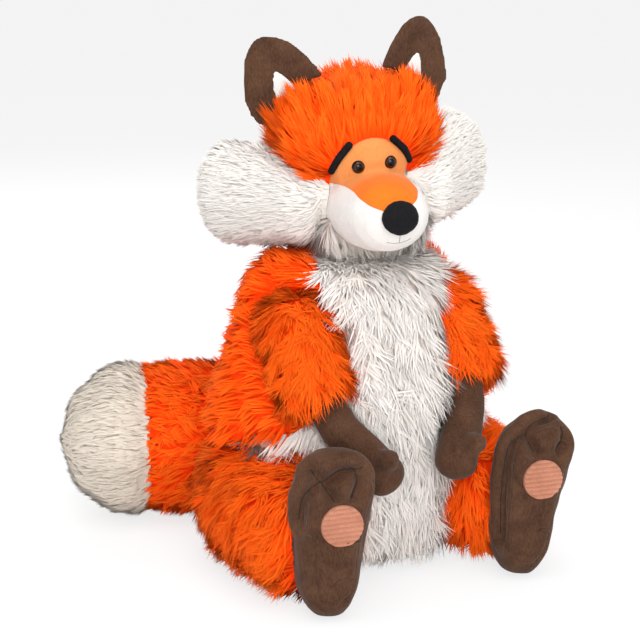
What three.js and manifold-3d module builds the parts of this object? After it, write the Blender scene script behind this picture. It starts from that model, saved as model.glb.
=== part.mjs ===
// A seated plush fox, about 41 cm tall: a pear-shaped torso with a pellet bag in its seat, a large
// head with stuffed cheeks, two arms with mitten paws, two legs with upright feet, and a thick tail.
// Each fur or plush skin is a shell of its own, open at its seams, round its own stuffing, and the
// outer face of a fur skin is where its pile ends.
// Millimetres, +Z up. The fox faces -Y and its right side is -X. The origin is the middle of the
// seat, on the surface that it sits on.
import * as THREE from 'three';
import { ConvexGeometry } from 'three/addons/geometries/ConvexGeometry.js';
import { mergeVertices } from 'three/addons/utils/BufferGeometryUtils.js';
import Module from 'manifold-3d';

const wasm = await Module();
wasm.setup();

// Sizes that several pieces share
const seamGap = 0.35; // between two pieces that are sewn or pressed together
const jointGap = 0.9; // round the ball of a limb, so that its facets clear the socket
const longPile = 12; // wall of a fur skin, backing and pile together
const shortPile = 3; // wall of a short plush skin
const restDepth = 0.5; // how deep the surface below flattens each soft form that rests on it
const overrun = 1000; // how far a cutting block runs past what it cuts
const socketSegments = 14;
const swingSteps = 3;
const threadRadius = 0.8;

// Torso
const torsoHeight = 238;
const torsoHalfWidth = 128;
const torsoHalfDepth = 88;
const torsoBackSet = 8; // the torso's axis lies this far behind the origin
const torsoCap = 34; // height over which its bottom and top round in
const torsoFlatShare = 0.4; // of its girth, where its bottom is flat
const torsoSides = 20;
const torsoRings = 12;
// Share of the height, of the half width and of the half depth
const torsoGirthShares = [
  [0, 0.8, 0.84],
  [0.2, 0.93, 0.96],
  [0.48, 1, 1],
  [0.7, 0.92, 0.95],
  [0.88, 0.77, 0.84],
  [1.1, 0.62, 0.72],
];
// Half outline of the white belly panel: share of the torso's half width and of its height
const bellyOutlineShares = [
  [0.34, 1.1],
  [0.38, 0.86],
  [0.49, 0.62],
  [0.53, 0.53],
  [0.86, 0.49],
  [0.86, 0.465],
  [0.56, 0.42],
  [0.44, 0.3],
  [0.3, 0.12],
  [0.26, -0.1],
];

const bellyStart = 30; // the belly panel begins this far in front of the origin, at the bottom
const bellyWrap = 40; // how much farther back it begins at the top

// Pellet bag inside the seat
const pelletBagRadius = 30;
const pelletBagHalfHeight = 18;
const pelletBagSides = 12;

// Head. Its places are measured from its middle, as if it looked straight ahead, and it is then
// rolled and turned.
const headMiddle = 82; // above the torso's top
const headTurn = -17; // degrees about +Z, towards the fox's right
const headRoll = 6.5; // degrees, left side up
const headBackSet = 8;
const headHalfWidth = 70;
const headHalfDepth = 63;
const headUnder = 96; // how far its form runs below the middle, into the neck
const headOver = 71;
const headCap = 62; // height over which its top rounds in
const headSides = 20;
const headRings = 11;
// Share of the way up, of the half width and of the half depth
const headGirthShares = [
  [0, 0.5, 0.5],
  [0.26, 0.74, 0.7],
  [0.6, 1, 1],
  [1, 0.98, 0.96],
];

// Face: short plush over a brow pad and a snout, pale orange above a seam and white below it
const browPadHalfWidth = 34;
const browPadHalfHeight = 27;
const browPadHalfDepth = 26;
const browPadForward = 22;
const browPadLift = 2;
const browPadSegments = 12;
const snoutRoot = 12;
const snoutReach = 99; // from the head's axis to its front end
const snoutHalfWidth = 35;
const snoutHalfHeight = 30;
const snoutDrop = 36; // its root below the head's middle
const snoutRise = 2; // how much higher its front end is
const snoutCap = 22;
const snoutSides = 16;
const snoutRings = 9;
// Share of the reach, of the rise, of the half width and of the half height
const snoutRouteShares = [
  [0, 0, 1, 1],
  [0.35, 0.1, 1, 0.98],
  [0.7, 0.5, 0.84, 0.86],
  [1, 1, 0.62, 0.66],
];
const faceBack = 20; // the face's skins end this far in front of the head's axis
const faceSeamDrop = 10; // of the colour seam below the head's middle, at the skins' back
const faceSeamFall = 14; // how much lower the colour seam is at the front of the snout
const faceWindowHalfWidth = 35;
const faceWindowTop = 22;
const faceWindowBottom = 56;

// Throat: the white fur of the head under the chin
const throatTop = 24; // below the head's middle
const throatHalfWidth = 36;
const throatNeckHalfWidth = 30;

// Nose
const noseHalfWidth = 13.5;
const noseHalfHeight = 12.5;
const noseHalfDepth = 10;
const noseDrop = 32;
const noseProud = 2; // of its middle in front of the snout's front end
const noseSegments = 14;

// Eyes: domes on stems, held by washers behind the face's skin
const eyeRadius = 5;
const eyeDome = 4.4; // height of the dome
const eyeSpread = 12.3; // from the middle of the face
const eyeDrop = 1;
const eyeSink = 1; // of the dome's back below the face's surface
const eyeStemRadius = 1.6;
const eyeStemLength = 11;
const eyeWasherRadius = 4.6;
const eyeWasherThickness = 1.4;
const eyeSegments = 12;

// Brows: stuffed strips over the eyes
const browHalfLength = 14;
const browRadius = 2.9;
const browSpread = 23;
const browLift = 6;
const browSlope = 54; // degrees that the outer end hangs down
const browSag = 4;
const browSides = 8;
const browRings = 6;

// Ears: brown plush, with a small white lining let into the front
const earHeight = 68;
const earHalfWidth = 32;
const earThickness = 10;
const earSpread = 40;
const earLift = 34; // the lower end, inside the fur of the head
const earBackSet = 8;
const earLean = 21; // degrees outward
const earOpen = 20; // degrees that the front turns outward
const earCup = 8; // how far its edges curl forward
const earSides = 12;
const earRings = 9;
const earCap = 12;
// Share of the height, of the half width and of the half thickness
const earGirthShares = [
  [0, 0.9, 1],
  [0.35, 1, 1],
  [0.7, 0.78, 0.9],
  [1, 0.34, 0.7],
];
const earLiningHeight = 35;
const earLiningHalfWidth = 9;
const earLiningThickness = 2.4;
const earLiningLift = 6;

// Cheeks: a fur lobe on each side of the head
const cheekSeamOut = 22;
const cheekReach = 83; // from its seam to its outer end
const cheekForward = 16; // its seam in front of the head's axis
const cheekSweep = 91; // how far its outer end lies behind its seam
const cheekDrop = 27;
const cheekRise = 5;
const cheekHalfHeight = 42;
const cheekHalfDepth = 30;
const cheekCap = 26;
const cheekSides = 16;
const cheekRings = 10;
// Share of the reach, of the sweep, of the rise, of the half height and of the half depth
const cheekRouteShares = [
  [0, 0, 0, 0.74, 0.8],
  [0.34, 0.23, 0.1, 0.88, 0.96],
  [0.64, 0.54, 0.4, 1, 1],
  [1, 1, 1, 0.92, 0.86],
];

// Mouth stitches
const mouthTop = 11; // below the nose's middle
const mouthBottom = 20;
const mouthHalfWidth = 11;
const mouthRise = 2.5;

// Arms
const shoulderOut = 66;
const shoulderForward = 20;
const shoulderHeight = 198;
const armInset = 33; // how far the paw lies inside the shoulder
const armReach = 76; // how far the paw lies in front of the shoulder
const armDrop = 108; // how far the paw lies below the shoulder
const armLift = 45; // degrees that the arm can be raised
const sleeveRadius = 34;
const sleeveCuffCap = 14;
const sleeveRings = 10;
const forearmRadius = 17;
const forearmCap = 12;
const forearmRoom = 9; // round it in the belly, so that it comes clear as the arm rises
const forearmRings = 9;
const armSides = 12;
// Share of the inset, of the reach and of the drop
const sleeveRouteShares = [
  [-0.12, 0.24, 0.25],
  [0.02, 0.5, 0.5],
];
const forearmRouteShares = [
  [-0.04, 0.36, 0.36],
  [0.25, 0.62, 0.64],
  [0.8, 0.84, 0.86],
  [1.24, 1, 1.06],
];
const forearmGirthShares = [0.92, 0.94, 1.02, 1.06];
const thumbRadius = 10;
const thumbLength = 34; // from inside the paw to its tip
const thumbForwardShare = 0.75; // of its length, the rest is upward
const thumbSides = 8;
const thumbRings = 6;

// Legs
const hipOut = 86;
const hipBack = 14;
const hipHeight = 58;
const thighHalfWidth = 48;
const thighRadius = 58; // half its height, and of its ball about the hip
const thighReach = 113; // from the hip to its front end
const thighCap = 26;
const thighSides = 16;
const thighRings = 12;
// Share of the reach, of the half width and of the half height
const thighGirthShares = [
  [0.37, 1, 0.98],
  [1, 0.82, 0.86],
];
const legSpread = 30; // degrees that the leg can be spread
const footHeight = 133;
const footHalfWidth = 31;
const footHalfDepth = 32;
const leftFootForward = 98; // the foot's middle in front of the origin
const rightFootForward = 90;
const footOut = 84;
const leftFootLean = 12; // how far the toes lie over to the fox's left
const rightFootLean = 4; // the same way
const leftSoleRise = 7; // how much higher the pad and the toe lines lie on the left foot
const footTurn = -19; // degrees about +Z of both feet, whose soles look towards the fox's right
const footCap = 34;
const footFlatShare = 0.45; // of its girth, where its heel is flat
const footSides = 18;
const footRings = 11;
const footSquareShare = 0.75;
// Share of the foot's height, of its half width and of its half depth
const footGirthShares = [
  [0, 0.76, 0.9],
  [0.25, 0.74, 1],
  [0.5, 0.84, 0.88],
  [0.75, 1, 0.7],
  [1, 0.96, 0.6],
];
const soleForward = 30; // face of the sole in front of the foot's middle
const soleBulge = 7; // how far the foot's form would stand out past the sole's flat face
const soleThickness = 3.5;
const padRadius = 15.5;
const padThickness = 2;
const padHeight = 76;
const padAside = 4; // from the middle of the foot, towards the fox's left on both feet
const padSegments = 24;
// Sewn toe lines on the sole: share of the foot's half width and of its height
const toeLineShares = [
  [[-0.56, 0.86], [-0.36, 0.81], [0.08, 0.86], [0.54, 0.87]],
  [[-0.36, 0.81], [-0.58, 0.77], [-0.72, 0.71], [-0.77, 0.64]],
  [[-0.36, 0.81], [-0.2, 0.76], [-0.06, 0.725], [0.28, 0.725], [0.44, 0.78], [0.48, 0.87]],
];
const threadQuarters = 3; // half as many sides round a thread
const threadSteps = 7;

// Tail
const tailSeatDepth = 8; // of the flat seat that it is sewn to, cut into the torso's back
const tailRadius = 66;
const tailBack = 108; // from its seat to its far end, straight back
const tailAside = 170; // from its seat to its far end, towards the fox's right
const tailCap = 46;
const tailRings = 12;
const tailSides = 16;
// Share of the distance aside, of the distance back and of the radius
const tailRouteShares = [
  [0, -0.1, 0.62],
  [0.05, 0.3, 0.88],
  [0.32, 0.56, 1],
  [0.66, 0.8, 1],
  [1, 1, 0.88],
];
const tailTipShare = 0.68; // of its route, where the white begins

// Colours
const orangeFur = { color: 0xf4611a, roughness: 0.95 };
const whiteFur = { color: 0xf1ece2, roughness: 0.95 };
const paleOrangePlush = { color: 0xf3a055, roughness: 0.9 };
const whitePlush = { color: 0xf6f4f0, roughness: 0.9 };
const brownPlush = { color: 0x5c463c, roughness: 0.88 };
const pinkCorduroy = { color: 0xbd7c64, roughness: 0.9 };
const blackPlush = { color: 0x1d1b1b, roughness: 0.8 };
const glossyEye = { color: 0x120c08, roughness: 0.08 };
const washerPlastic = { color: 0xd9d9d4, roughness: 0.5 };
const darkThread = { color: 0x2b2320, roughness: 0.8 };
const fibreStuffing = { color: 0xfafafa, roughness: 1 };
const pelletCloth = { color: 0xc9c4b6, roughness: 0.9 };

const quarterTurn = Math.PI / 2;
const fullTurn = Math.PI * 2;
const { degToRad } = THREE.MathUtils;
const up = new THREE.Vector3(0, 0, 1);
const down = new THREE.Vector3(0, 0, -1);
const left = new THREE.Vector3(1, 0, 0);
const back = new THREE.Vector3(0, 1, 0);
const ahead = new THREE.Vector3(0, -1, 0);

// Solids
function solidFrom(positions, indices) {
  return new wasm.Manifold(new wasm.Mesh({
    numProp: 3,
    vertProperties: new Float32Array(positions),
    triVerts: new Uint32Array(indices),
  }));
}

function solidOf(geometry) {
  const bare = geometry.clone();
  bare.deleteAttribute('normal');
  bare.deleteAttribute('uv');
  const merged = mergeVertices(bare);
  return solidFrom(merged.attributes.position.array, merged.index.array);
}

function geometryOf(solid) {
  const mesh = solid.getMesh();
  const geometry = new THREE.BufferGeometry();
  geometry.setAttribute('position', new THREE.BufferAttribute(mesh.vertProperties, 3));
  geometry.setIndex(new THREE.BufferAttribute(mesh.triVerts, 1));
  geometry.computeVertexNormals();
  return geometry;
}

// The solid after a move, a turn or a mirroring, which also turns its faces round again
function moved(solid, matrix) {
  const geometry = geometryOf(solid).applyMatrix4(matrix);
  const corners = geometry.index.array;
  if (matrix.determinant() < 0) {
    corners.reverse();
  }
  return solidFrom(geometry.attributes.position.array, corners);
}

function cut(solid, ...cutters) {
  return cutters.reduce((kept, cutter) => kept.subtract(cutter), solid);
}

function join(...solids) {
  return solids.reduce((whole, solid) => whole.add(solid));
}

// The largest body of a solid, without the crumbs that a cut leaves
function largest(solid) {
  return solid.decompose().reduce((best, body) => (body.volume() > best.volume() ? body : best));
}

// A block that covers all that lies on one side of a point
function allBeyond(point, direction) {
  const block = new THREE.BoxGeometry(overrun, overrun, overrun);
  block.translate(0, 0, overrun / 2);
  block.applyQuaternion(new THREE.Quaternion().setFromUnitVectors(up, direction.clone().normalize()));
  block.translate(point.x, point.y, point.z);
  return solidOf(block);
}

function ellipsoid(middle, halfWidth, halfDepth, halfHeight, segments) {
  const sphere = new THREE.SphereGeometry(1, segments, segments / 2);
  sphere.scale(halfWidth, halfDepth, halfHeight);
  sphere.translate(middle.x, middle.y, middle.z);
  return solidOf(sphere);
}

// Room for a ball of a limb to turn in, wide enough for its flat facets
function socket(middle, halfWidth, radius, segments) {
  const facetRoom = Math.cos(Math.PI / segments) ** 2;
  const wide = (halfWidth + jointGap) / facetRoom;
  const deep = (radius + jointGap) / facetRoom;
  return ellipsoid(middle, wide, deep, deep, segments);
}

// Room for a limb to swing about an axis through its joint: the hull of its places on the way
function swingRoom(form, joint, axis, degreesSwung) {
  const limb = geometryOf(softForm(form, jointGap)).translate(-joint.x, -joint.y, -joint.z);
  const corners = [];
  for (let step = 0; step <= swingSteps; step += 1) {
    const swung = limb.clone().applyMatrix4(
      new THREE.Matrix4().makeRotationAxis(axis, degToRad((degreesSwung * step) / swingSteps)),
    ).translate(joint.x, joint.y, joint.z).attributes.position;
    for (let i = 0; i < swung.count; i += 1) {
      corners.push(new THREE.Vector3().fromBufferAttribute(swung, i));
    }
  }
  return solidOf(new ConvexGeometry(corners));
}

// A disc or pin whose axis runs straight ahead from the middle of its back face
function discAhead(backMiddle, radius, length, segments) {
  const disc = new THREE.CylinderGeometry(radius, radius, length, segments);
  disc.translate(backMiddle.x, backMiddle.y - length / 2, backMiddle.z);
  return solidOf(disc);
}

// A prism that runs from front to back through an outline seen from the front
function prismAhead(outline) {
  const prism = new THREE.ExtrudeGeometry(outline, { depth: overrun * 2, bevelEnabled: false });
  prism.translate(0, 0, -overrun);
  prism.rotateX(quarterTurn);
  return solidOf(prism);
}

// A thread along a smooth line
function thread(points) {
  const section = new THREE.Shape();
  section.absarc(0, 0, threadRadius, 0, fullTurn);
  const path = new THREE.CatmullRomCurve3(points);
  return solidOf(new THREE.ExtrudeGeometry(section, {
    steps: threadSteps,
    curveSegments: threadQuarters,
    bevelEnabled: false,
    extrudePath: path,
  }));
}

// Rings of half width and half depth along a smooth route, with rounded ends, or with a start that
// is flat over a share of its girth. A positive grow makes the form larger all round, and a negative
// one smaller.
function softForm(form, grow = 0) {
  const { route, girths, startCap, endCap, sides, rings } = form;
  const { across = left, flatShare = 0, squareShare = 1, bend = () => {} } = form;
  const spine = new THREE.CatmullRomCurve3(route);
  const girth = new THREE.CatmullRomCurve3(
    girths.map(([wide, deep]) => new THREE.Vector3(wide, deep, 0)),
  );
  const length = spine.getLength();
  const capRings = Math.ceil(rings / 4);
  const straightRings = Math.max(rings - 2 * capRings, 1);
  const firstAngle = Math.asin(flatShare);
  const stops = [];
  for (let i = flatShare > 0 ? 0 : 1; i <= capRings; i += 1) {
    const angle = firstAngle + ((quarterTurn - firstAngle) * i) / capRings;
    const at = startCap * (1 - Math.cos(angle) / Math.cos(firstAngle));
    stops.push({ at, round: Math.sin(angle), push: -Math.cos(angle) });
  }
  for (let i = 1; i < straightRings; i += 1) {
    stops.push({ at: startCap + ((length - startCap - endCap) * i) / straightRings, round: 1, push: 0 });
  }
  for (let i = capRings; i >= 1; i -= 1) {
    const angle = (quarterTurn * i) / capRings;
    const at = length - endCap * (1 - Math.cos(angle));
    stops.push({ at, round: Math.sin(angle), push: Math.cos(angle) });
  }
  const squared = (value) => Math.sign(value) * Math.abs(value) ** squareShare;
  const onSpine = (share, push) => spine.getPointAt(share)
    .addScaledVector(spine.getTangentAt(share), push * grow);
  const points = [onSpine(0, -Math.cos(firstAngle))];
  stops.forEach(({ at, round, push }) => {
    const share = Math.min(Math.max(at / length, 0), 1);
    const tangent = spine.getTangentAt(share);
    const sideAxis = across.clone().addScaledVector(tangent, -across.dot(tangent)).normalize();
    const deepAxis = tangent.clone().cross(sideAxis);
    const size = girth.getPoint(spine.getUtoTmapping(share));
    const centre = onSpine(share, push);
    for (let k = 0; k < sides; k += 1) {
      const turn = (fullTurn * k) / sides;
      points.push(centre.clone()
        .addScaledVector(sideAxis, squared(Math.cos(turn)) * round * (size.x + grow))
        .addScaledVector(deepAxis, squared(Math.sin(turn)) * round * (size.y + grow)));
    }
  });
  points.push(onSpine(1, 1));
  points.forEach(bend);
  const faces = [];
  const lastRing = 1 + (stops.length - 1) * sides;
  for (let k = 0; k < sides; k += 1) {
    const next = (k + 1) % sides;
    faces.push(0, 1 + next, 1 + k, lastRing + sides, lastRing + k, lastRing + next);
    for (let low = 1; low < lastRing; low += sides) {
      const high = low + sides;
      faces.push(low + k, low + next, high + next, low + k, high + next, high + k);
    }
  }
  return solidFrom(points.flatMap((point) => point.toArray()), faces);
}

// The inner face of a skin, or the stuffing behind it, with half the facets
function inside(form, wall) {
  const rings = wall < longPile ? form.rings : Math.ceil(form.rings / 2);
  return softForm({ ...form, sides: form.sides / 2, rings }, -wall);
}

// Pieces
const fox = new THREE.Group();

function addPiece(name, solid, finish, group = fox) {
  const material = new THREE.MeshStandardMaterial({ metalness: 0, ...finish });
  const mesh = new THREE.Mesh(geometryOf(largest(solid)), material);
  mesh.name = name;
  group.add(mesh);
}

// What comes in pairs is drawn on the fox's left, at +X, and mirrored for its right
const mirrored = new THREE.Matrix4().makeScale(-1, 1, 1);
const pair = [
  { side: 'left', placed: (solid) => solid },
  { side: 'right', placed: (solid) => moved(solid, mirrored) },
];
const onBothSides = (solid) => join(...pair.map(({ placed }) => placed(solid)));

function addPair(name, solid, finish, group = fox) {
  pair.forEach(({ side, placed }) => addPiece(`${name}_${side}`, placed(solid), finish, group));
}

const belowSurface = allBeyond(new THREE.Vector3(0, 0, 0), down);
const innerGap = longPile + seamGap; // from a fur skin's outer face to the stuffing inside it

// Leg forms
const hip = new THREE.Vector3(hipOut, hipBack, hipHeight);
const thighMiddle = (share, halfHeight) => new THREE.Vector3(
  hipOut + (footOut - hipOut) * share,
  hipBack - thighReach * share,
  hipHeight * halfHeight - (share > 0 ? restDepth : 0),
);
const thigh = {
  route: [
    new THREE.Vector3(hipOut, hipBack + thighRadius, hipHeight),
    hip,
    ...thighGirthShares.map(([share, , high]) => thighMiddle(share, high)),
  ],
  girths: [
    [thighHalfWidth, thighRadius],
    [thighHalfWidth, thighRadius],
    ...thighGirthShares.map(([, wide, high]) => [thighHalfWidth * wide, thighRadius * high]),
  ],
  startCap: thighRadius,
  endCap: thighCap,
  sides: thighSides,
  rings: thighRings,
};
const footForm = (lean) => ({
  route: footGirthShares.map(([height, , deep]) => new THREE.Vector3(
    lean * height,
    footHalfDepth * deep - soleForward - soleBulge,
    footHeight * height - restDepth,
  )),
  girths: footGirthShares.map(([, wide, deep]) => [footHalfWidth * wide, footHalfDepth * deep]),
  startCap: footCap,
  endCap: footCap,
  flatShare: footFlatShare,
  squareShare: footSquareShare,
  sides: footSides,
  rings: footRings,
});

// Arm forms
const shoulder = new THREE.Vector3(shoulderOut, -shoulderForward, shoulderHeight);
const armPlace = ([inset, reach, drop]) => new THREE.Vector3(
  shoulderOut - armInset * inset,
  -shoulderForward - armReach * reach,
  shoulderHeight - armDrop * drop,
);
const upperArm = armPlace(sleeveRouteShares[0]).sub(shoulder).normalize();
const sleeve = {
  route: [
    shoulder.clone().addScaledVector(upperArm, -sleeveRadius),
    shoulder,
    ...sleeveRouteShares.map(armPlace),
  ],
  girths: [
    [sleeveRadius, sleeveRadius],
    [sleeveRadius, sleeveRadius],
    [sleeveRadius, sleeveRadius],
    [sleeveRadius, sleeveRadius],
  ],
  startCap: sleeveRadius,
  endCap: sleeveCuffCap,
  sides: armSides,
  rings: sleeveRings,
};
const forearm = {
  route: forearmRouteShares.map(armPlace),
  girths: forearmGirthShares.map((share) => [forearmRadius * share, forearmRadius * share]),
  startCap: forearmCap,
  endCap: forearmCap,
  sides: armSides,
  rings: forearmRings,
};
const wrist = armPlace(forearmRouteShares[2]);
const thumbAim = ahead.clone().multiplyScalar(thumbForwardShare)
  .addScaledVector(up, 1 - thumbForwardShare)
  .normalize();
const thumb = {
  route: [0, 0.5, 1].map((share) => wrist.clone().addScaledVector(thumbAim, thumbLength * share)),
  girths: [[thumbRadius, thumbRadius], [thumbRadius, thumbRadius]],
  startCap: thumbRadius,
  endCap: thumbRadius,
  sides: thumbSides,
  rings: thumbRings,
};

const armRoom = join(
  socket(shoulder, sleeveRadius, sleeveRadius, socketSegments),
  softForm(forearm, forearmRoom),
  swingRoom(sleeve, shoulder, left, -armLift),
);
const footAt = (out, forward, lean, soleRise) => ({
  form: footForm(lean),
  lean,
  soleRise,
  place: new THREE.Matrix4().makeTranslation(out, -forward, 0)
    .multiply(new THREE.Matrix4().makeRotationZ(degToRad(footTurn))),
});
const feet = {
  left: footAt(footOut, leftFootForward, leftFootLean, leftSoleRise),
  right: footAt(-footOut, rightFootForward, rightFootLean, 0),
};
const footRoom = join(
  ...Object.values(feet).map(({ form, place }) => moved(softForm(form, jointGap), place)),
);
const legRoom = join(
  socket(hip, thighRadius, thighRadius, socketSegments),
  swingRoom(thigh, hip, up, legSpread),
);

const aheadOf = (distance) => allBeyond(new THREE.Vector3(0, -distance, 0), ahead);
const behind = (distance) => allBeyond(new THREE.Vector3(0, -distance, 0), back);

// Torso
const torsoHeights = torsoGirthShares.map(([height]) => height * torsoHeight - restDepth);
const torso = {
  route: torsoHeights.map((height) => new THREE.Vector3(0, torsoBackSet, height)),
  girths: torsoGirthShares.map(([, wide, deep]) => [wide * torsoHalfWidth, deep * torsoHalfDepth]),
  startCap: torsoCap,
  endCap: torsoCap,
  flatShare: torsoFlatShare,
  sides: torsoSides,
  rings: torsoRings,
};
const tailSeat = torsoBackSet + torsoHalfDepth - tailSeatDepth;
const torsoRoom = join(
  onBothSides(armRoom),
  onBothSides(legRoom),
  footRoom,
  allBeyond(new THREE.Vector3(0, 0, torsoHeight), up),
  allBeyond(new THREE.Vector3(0, tailSeat, 0), back),
  belowSurface,
);

function bellyOutline(grow) {
  const half = bellyOutlineShares.map(([wide, height]) => [
    wide * torsoHalfWidth + grow,
    height * torsoHeight,
  ]);
  const outline = new THREE.Shape(half.map(([x, z]) => new THREE.Vector2(x, z)));
  half.reverse().forEach(([x, z]) => outline.lineTo(-x, z));
  return outline;
}
const bellyRegion = (grow) => prismAhead(bellyOutline(grow)).intersect(allBeyond(
  new THREE.Vector3(0, -bellyStart + grow, 0),
  new THREE.Vector3(0, -torsoHeight, bellyWrap),
));
const torsoSkin = cut(softForm(torso), inside(torso, longPile), torsoRoom);
addPiece('torso_back_fur', cut(torsoSkin, bellyRegion(seamGap)), orangeFur);
addPiece('belly_panel_fur', torsoSkin.intersect(bellyRegion(0)), whiteFur);

// The pellet bag lies on the seat, and the stuffing is packed over it
const pelletBagHeight = innerGap + pelletBagHalfHeight;
const pelletBag = (grow) => ellipsoid(
  new THREE.Vector3(0, torsoBackSet, pelletBagHeight),
  pelletBagRadius + grow,
  pelletBagRadius + grow,
  pelletBagHalfHeight + grow,
  pelletBagSides,
);
const underPelletBag = new THREE.CylinderGeometry(
  pelletBagRadius + seamGap,
  pelletBagRadius + seamGap,
  pelletBagHeight,
  pelletBagSides,
);
underPelletBag.rotateX(quarterTurn);
underPelletBag.translate(0, torsoBackSet, pelletBagHeight / 2);
addPiece('pellet_bag', pelletBag(0), pelletCloth);
addPiece(
  'torso_stuffing',
  cut(inside(torso, innerGap), torsoRoom, pelletBag(seamGap), solidOf(underPelletBag)),
  fibreStuffing,
);

// Arms
addPair(
  'sleeve_fur',
  cut(softForm(sleeve), inside(sleeve, longPile), softForm(forearm, seamGap)),
  orangeFur,
);
addPair(
  'forearm_paw',
  cut(join(softForm(forearm), softForm(thumb)), inside(forearm, shortPile), inside(sleeve, longPile)),
  brownPlush,
);
addPair(
  'arm_stuffing',
  join(inside(sleeve, innerGap), inside(forearm, shortPile + seamGap)),
  fibreStuffing,
);

// Legs. A foot is drawn with its sole straight ahead, and then placed and turned.
const soleBack = soleForward - soleThickness;
function toeThread(line, lean, soleRise) {
  return thread(line.map(([wide, height]) => new THREE.Vector3(
    lean * height + footHalfWidth * wide,
    -soleForward - seamGap - threadRadius,
    footHeight * height + soleRise,
  )));
}
pair.forEach(({ side, placed }) => {
  const { form, lean, soleRise, place } = feet[side];
  const inFoot = (solid) => moved(solid, place);
  const foot = softForm(form);
  const legInside = placed(inside(thigh, longPile));
  const footShell = cut(foot, inside(form, shortPile), aheadOf(soleBack - seamGap));
  const sole = cut(foot, aheadOf(soleForward), behind(soleBack));
  const footFilling = cut(inside(form, shortPile + seamGap), aheadOf(soleBack - seamGap));
  const padMiddle = new THREE.Vector3(
    padAside + (lean * padHeight) / footHeight,
    -soleForward - seamGap,
    padHeight + soleRise,
  );
  addPiece(
    `thigh_fur_${side}`,
    cut(placed(softForm(thigh)), legInside, inFoot(softForm(form, seamGap)), belowSurface),
    orangeFur,
  );
  addPiece(`foot_upper_${side}`, cut(inFoot(footShell), legInside, belowSurface), brownPlush);
  addPiece(`foot_sole_${side}`, cut(inFoot(sole), belowSurface), brownPlush);
  addPiece(
    `leg_stuffing_${side}`,
    join(placed(inside(thigh, innerGap)), inFoot(footFilling)),
    fibreStuffing,
  );
  addPiece(
    `paw_pad_${side}`,
    inFoot(discAhead(padMiddle, padRadius, padThickness, padSegments)),
    pinkCorduroy,
  );
  addPiece(
    `toe_stitches_${side}`,
    inFoot(join(...toeLineShares.map((line) => toeThread(line, lean, soleRise)))),
    darkThread,
  );
});

// Tail
const tailHeight = tailRadius - restDepth;
const tail = {
  route: tailRouteShares.map(([aside, behindSeat]) => new THREE.Vector3(
    -tailAside * aside,
    tailSeat + tailBack * behindSeat,
    tailHeight,
  )),
  girths: tailRouteShares.map(([, , share]) => [tailRadius * share, tailRadius * share]),
  startCap: tailCap,
  endCap: tailCap,
  across: up,
  sides: tailSides,
  rings: tailRings,
};
const tailRoom = join(belowSurface, allBeyond(new THREE.Vector3(0, tailSeat + seamGap, 0), ahead));
const tailSpine = new THREE.CatmullRomCurve3(tail.route);
const tailSeam = tailSpine.getPointAt(tailTipShare);
const tailAim = tailSpine.getTangentAt(tailTipShare);
const tailSkin = cut(softForm(tail), inside(tail, longPile), tailRoom);
const pastTailSeam = tailSeam.clone().addScaledVector(tailAim, seamGap);
addPiece('tail_base_fur', cut(tailSkin, allBeyond(tailSeam, tailAim)), orangeFur);
addPiece('tail_tip_fur', tailSkin.intersect(allBeyond(pastTailSeam, tailAim)), whiteFur);
addPiece('tail_stuffing', cut(inside(tail, innerGap), tailRoom), fibreStuffing);

// Head
const headGroup = new THREE.Group();
headGroup.position.set(0, 0, torsoHeight + headMiddle);
headGroup.rotation.set(0, degToRad(-headRoll), degToRad(headTurn), 'ZYX');
headGroup.updateMatrix();
fox.add(headGroup);

// The flat seam between head and torso, in the head's own frame
const intoHead = headGroup.matrix.clone().invert();
const neckPoint = new THREE.Vector3(0, 0, torsoHeight + seamGap).applyMatrix4(intoHead);
const neckAim = down.clone().transformDirection(intoHead);
const belowNeck = allBeyond(neckPoint, neckAim);

const head = {
  route: headGirthShares.map(([share]) => new THREE.Vector3(
    0,
    headBackSet,
    -headUnder + (headUnder + headOver) * share,
  )),
  girths: headGirthShares.map(([, wide, deep]) => [headHalfWidth * wide, headHalfDepth * deep]),
  startCap: longPile,
  endCap: headCap,
  sides: headSides,
  rings: headRings,
};
const cheek = {
  route: cheekRouteShares.map(([reach, sweepShare, rise]) => new THREE.Vector3(
    cheekSeamOut + cheekReach * reach,
    -cheekForward + cheekSweep * sweepShare,
    -cheekDrop + cheekRise * rise,
  )),
  girths: cheekRouteShares.map(([, , , high, deep]) => [cheekHalfHeight * high, cheekHalfDepth * deep]),
  startCap: cheekCap,
  endCap: cheekCap,
  across: up,
  sides: cheekSides,
  rings: cheekRings,
};
const snout = {
  route: snoutRouteShares.map(([reach, rise]) => new THREE.Vector3(
    0,
    -snoutRoot - (snoutReach - snoutRoot) * reach,
    -snoutDrop + snoutRise * rise,
  )),
  girths: snoutRouteShares.map(([, , wide, high]) => [snoutHalfWidth * wide, snoutHalfHeight * high]),
  startCap: shortPile,
  endCap: snoutCap,
  sides: snoutSides,
  rings: snoutRings,
};
const browPad = (grow) => ellipsoid(
  new THREE.Vector3(0, -browPadForward, browPadLift),
  browPadHalfWidth + grow,
  browPadHalfDepth + grow,
  browPadHalfHeight + grow,
  browPadSegments,
);
const face = (grow) => join(browPad(grow), softForm(snout, grow));
const insideFace = (wall) => join(browPad(-wall), inside(snout, wall));

// How far the brow pad stands in front of the head's axis, at a place seen from the front
function browPadReach(aside, lift) {
  const rest = 1 - (aside / browPadHalfWidth) ** 2 - ((lift - browPadLift) / browPadHalfHeight) ** 2;
  return browPadForward + browPadHalfDepth * Math.sqrt(Math.max(rest, 0));
}

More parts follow.
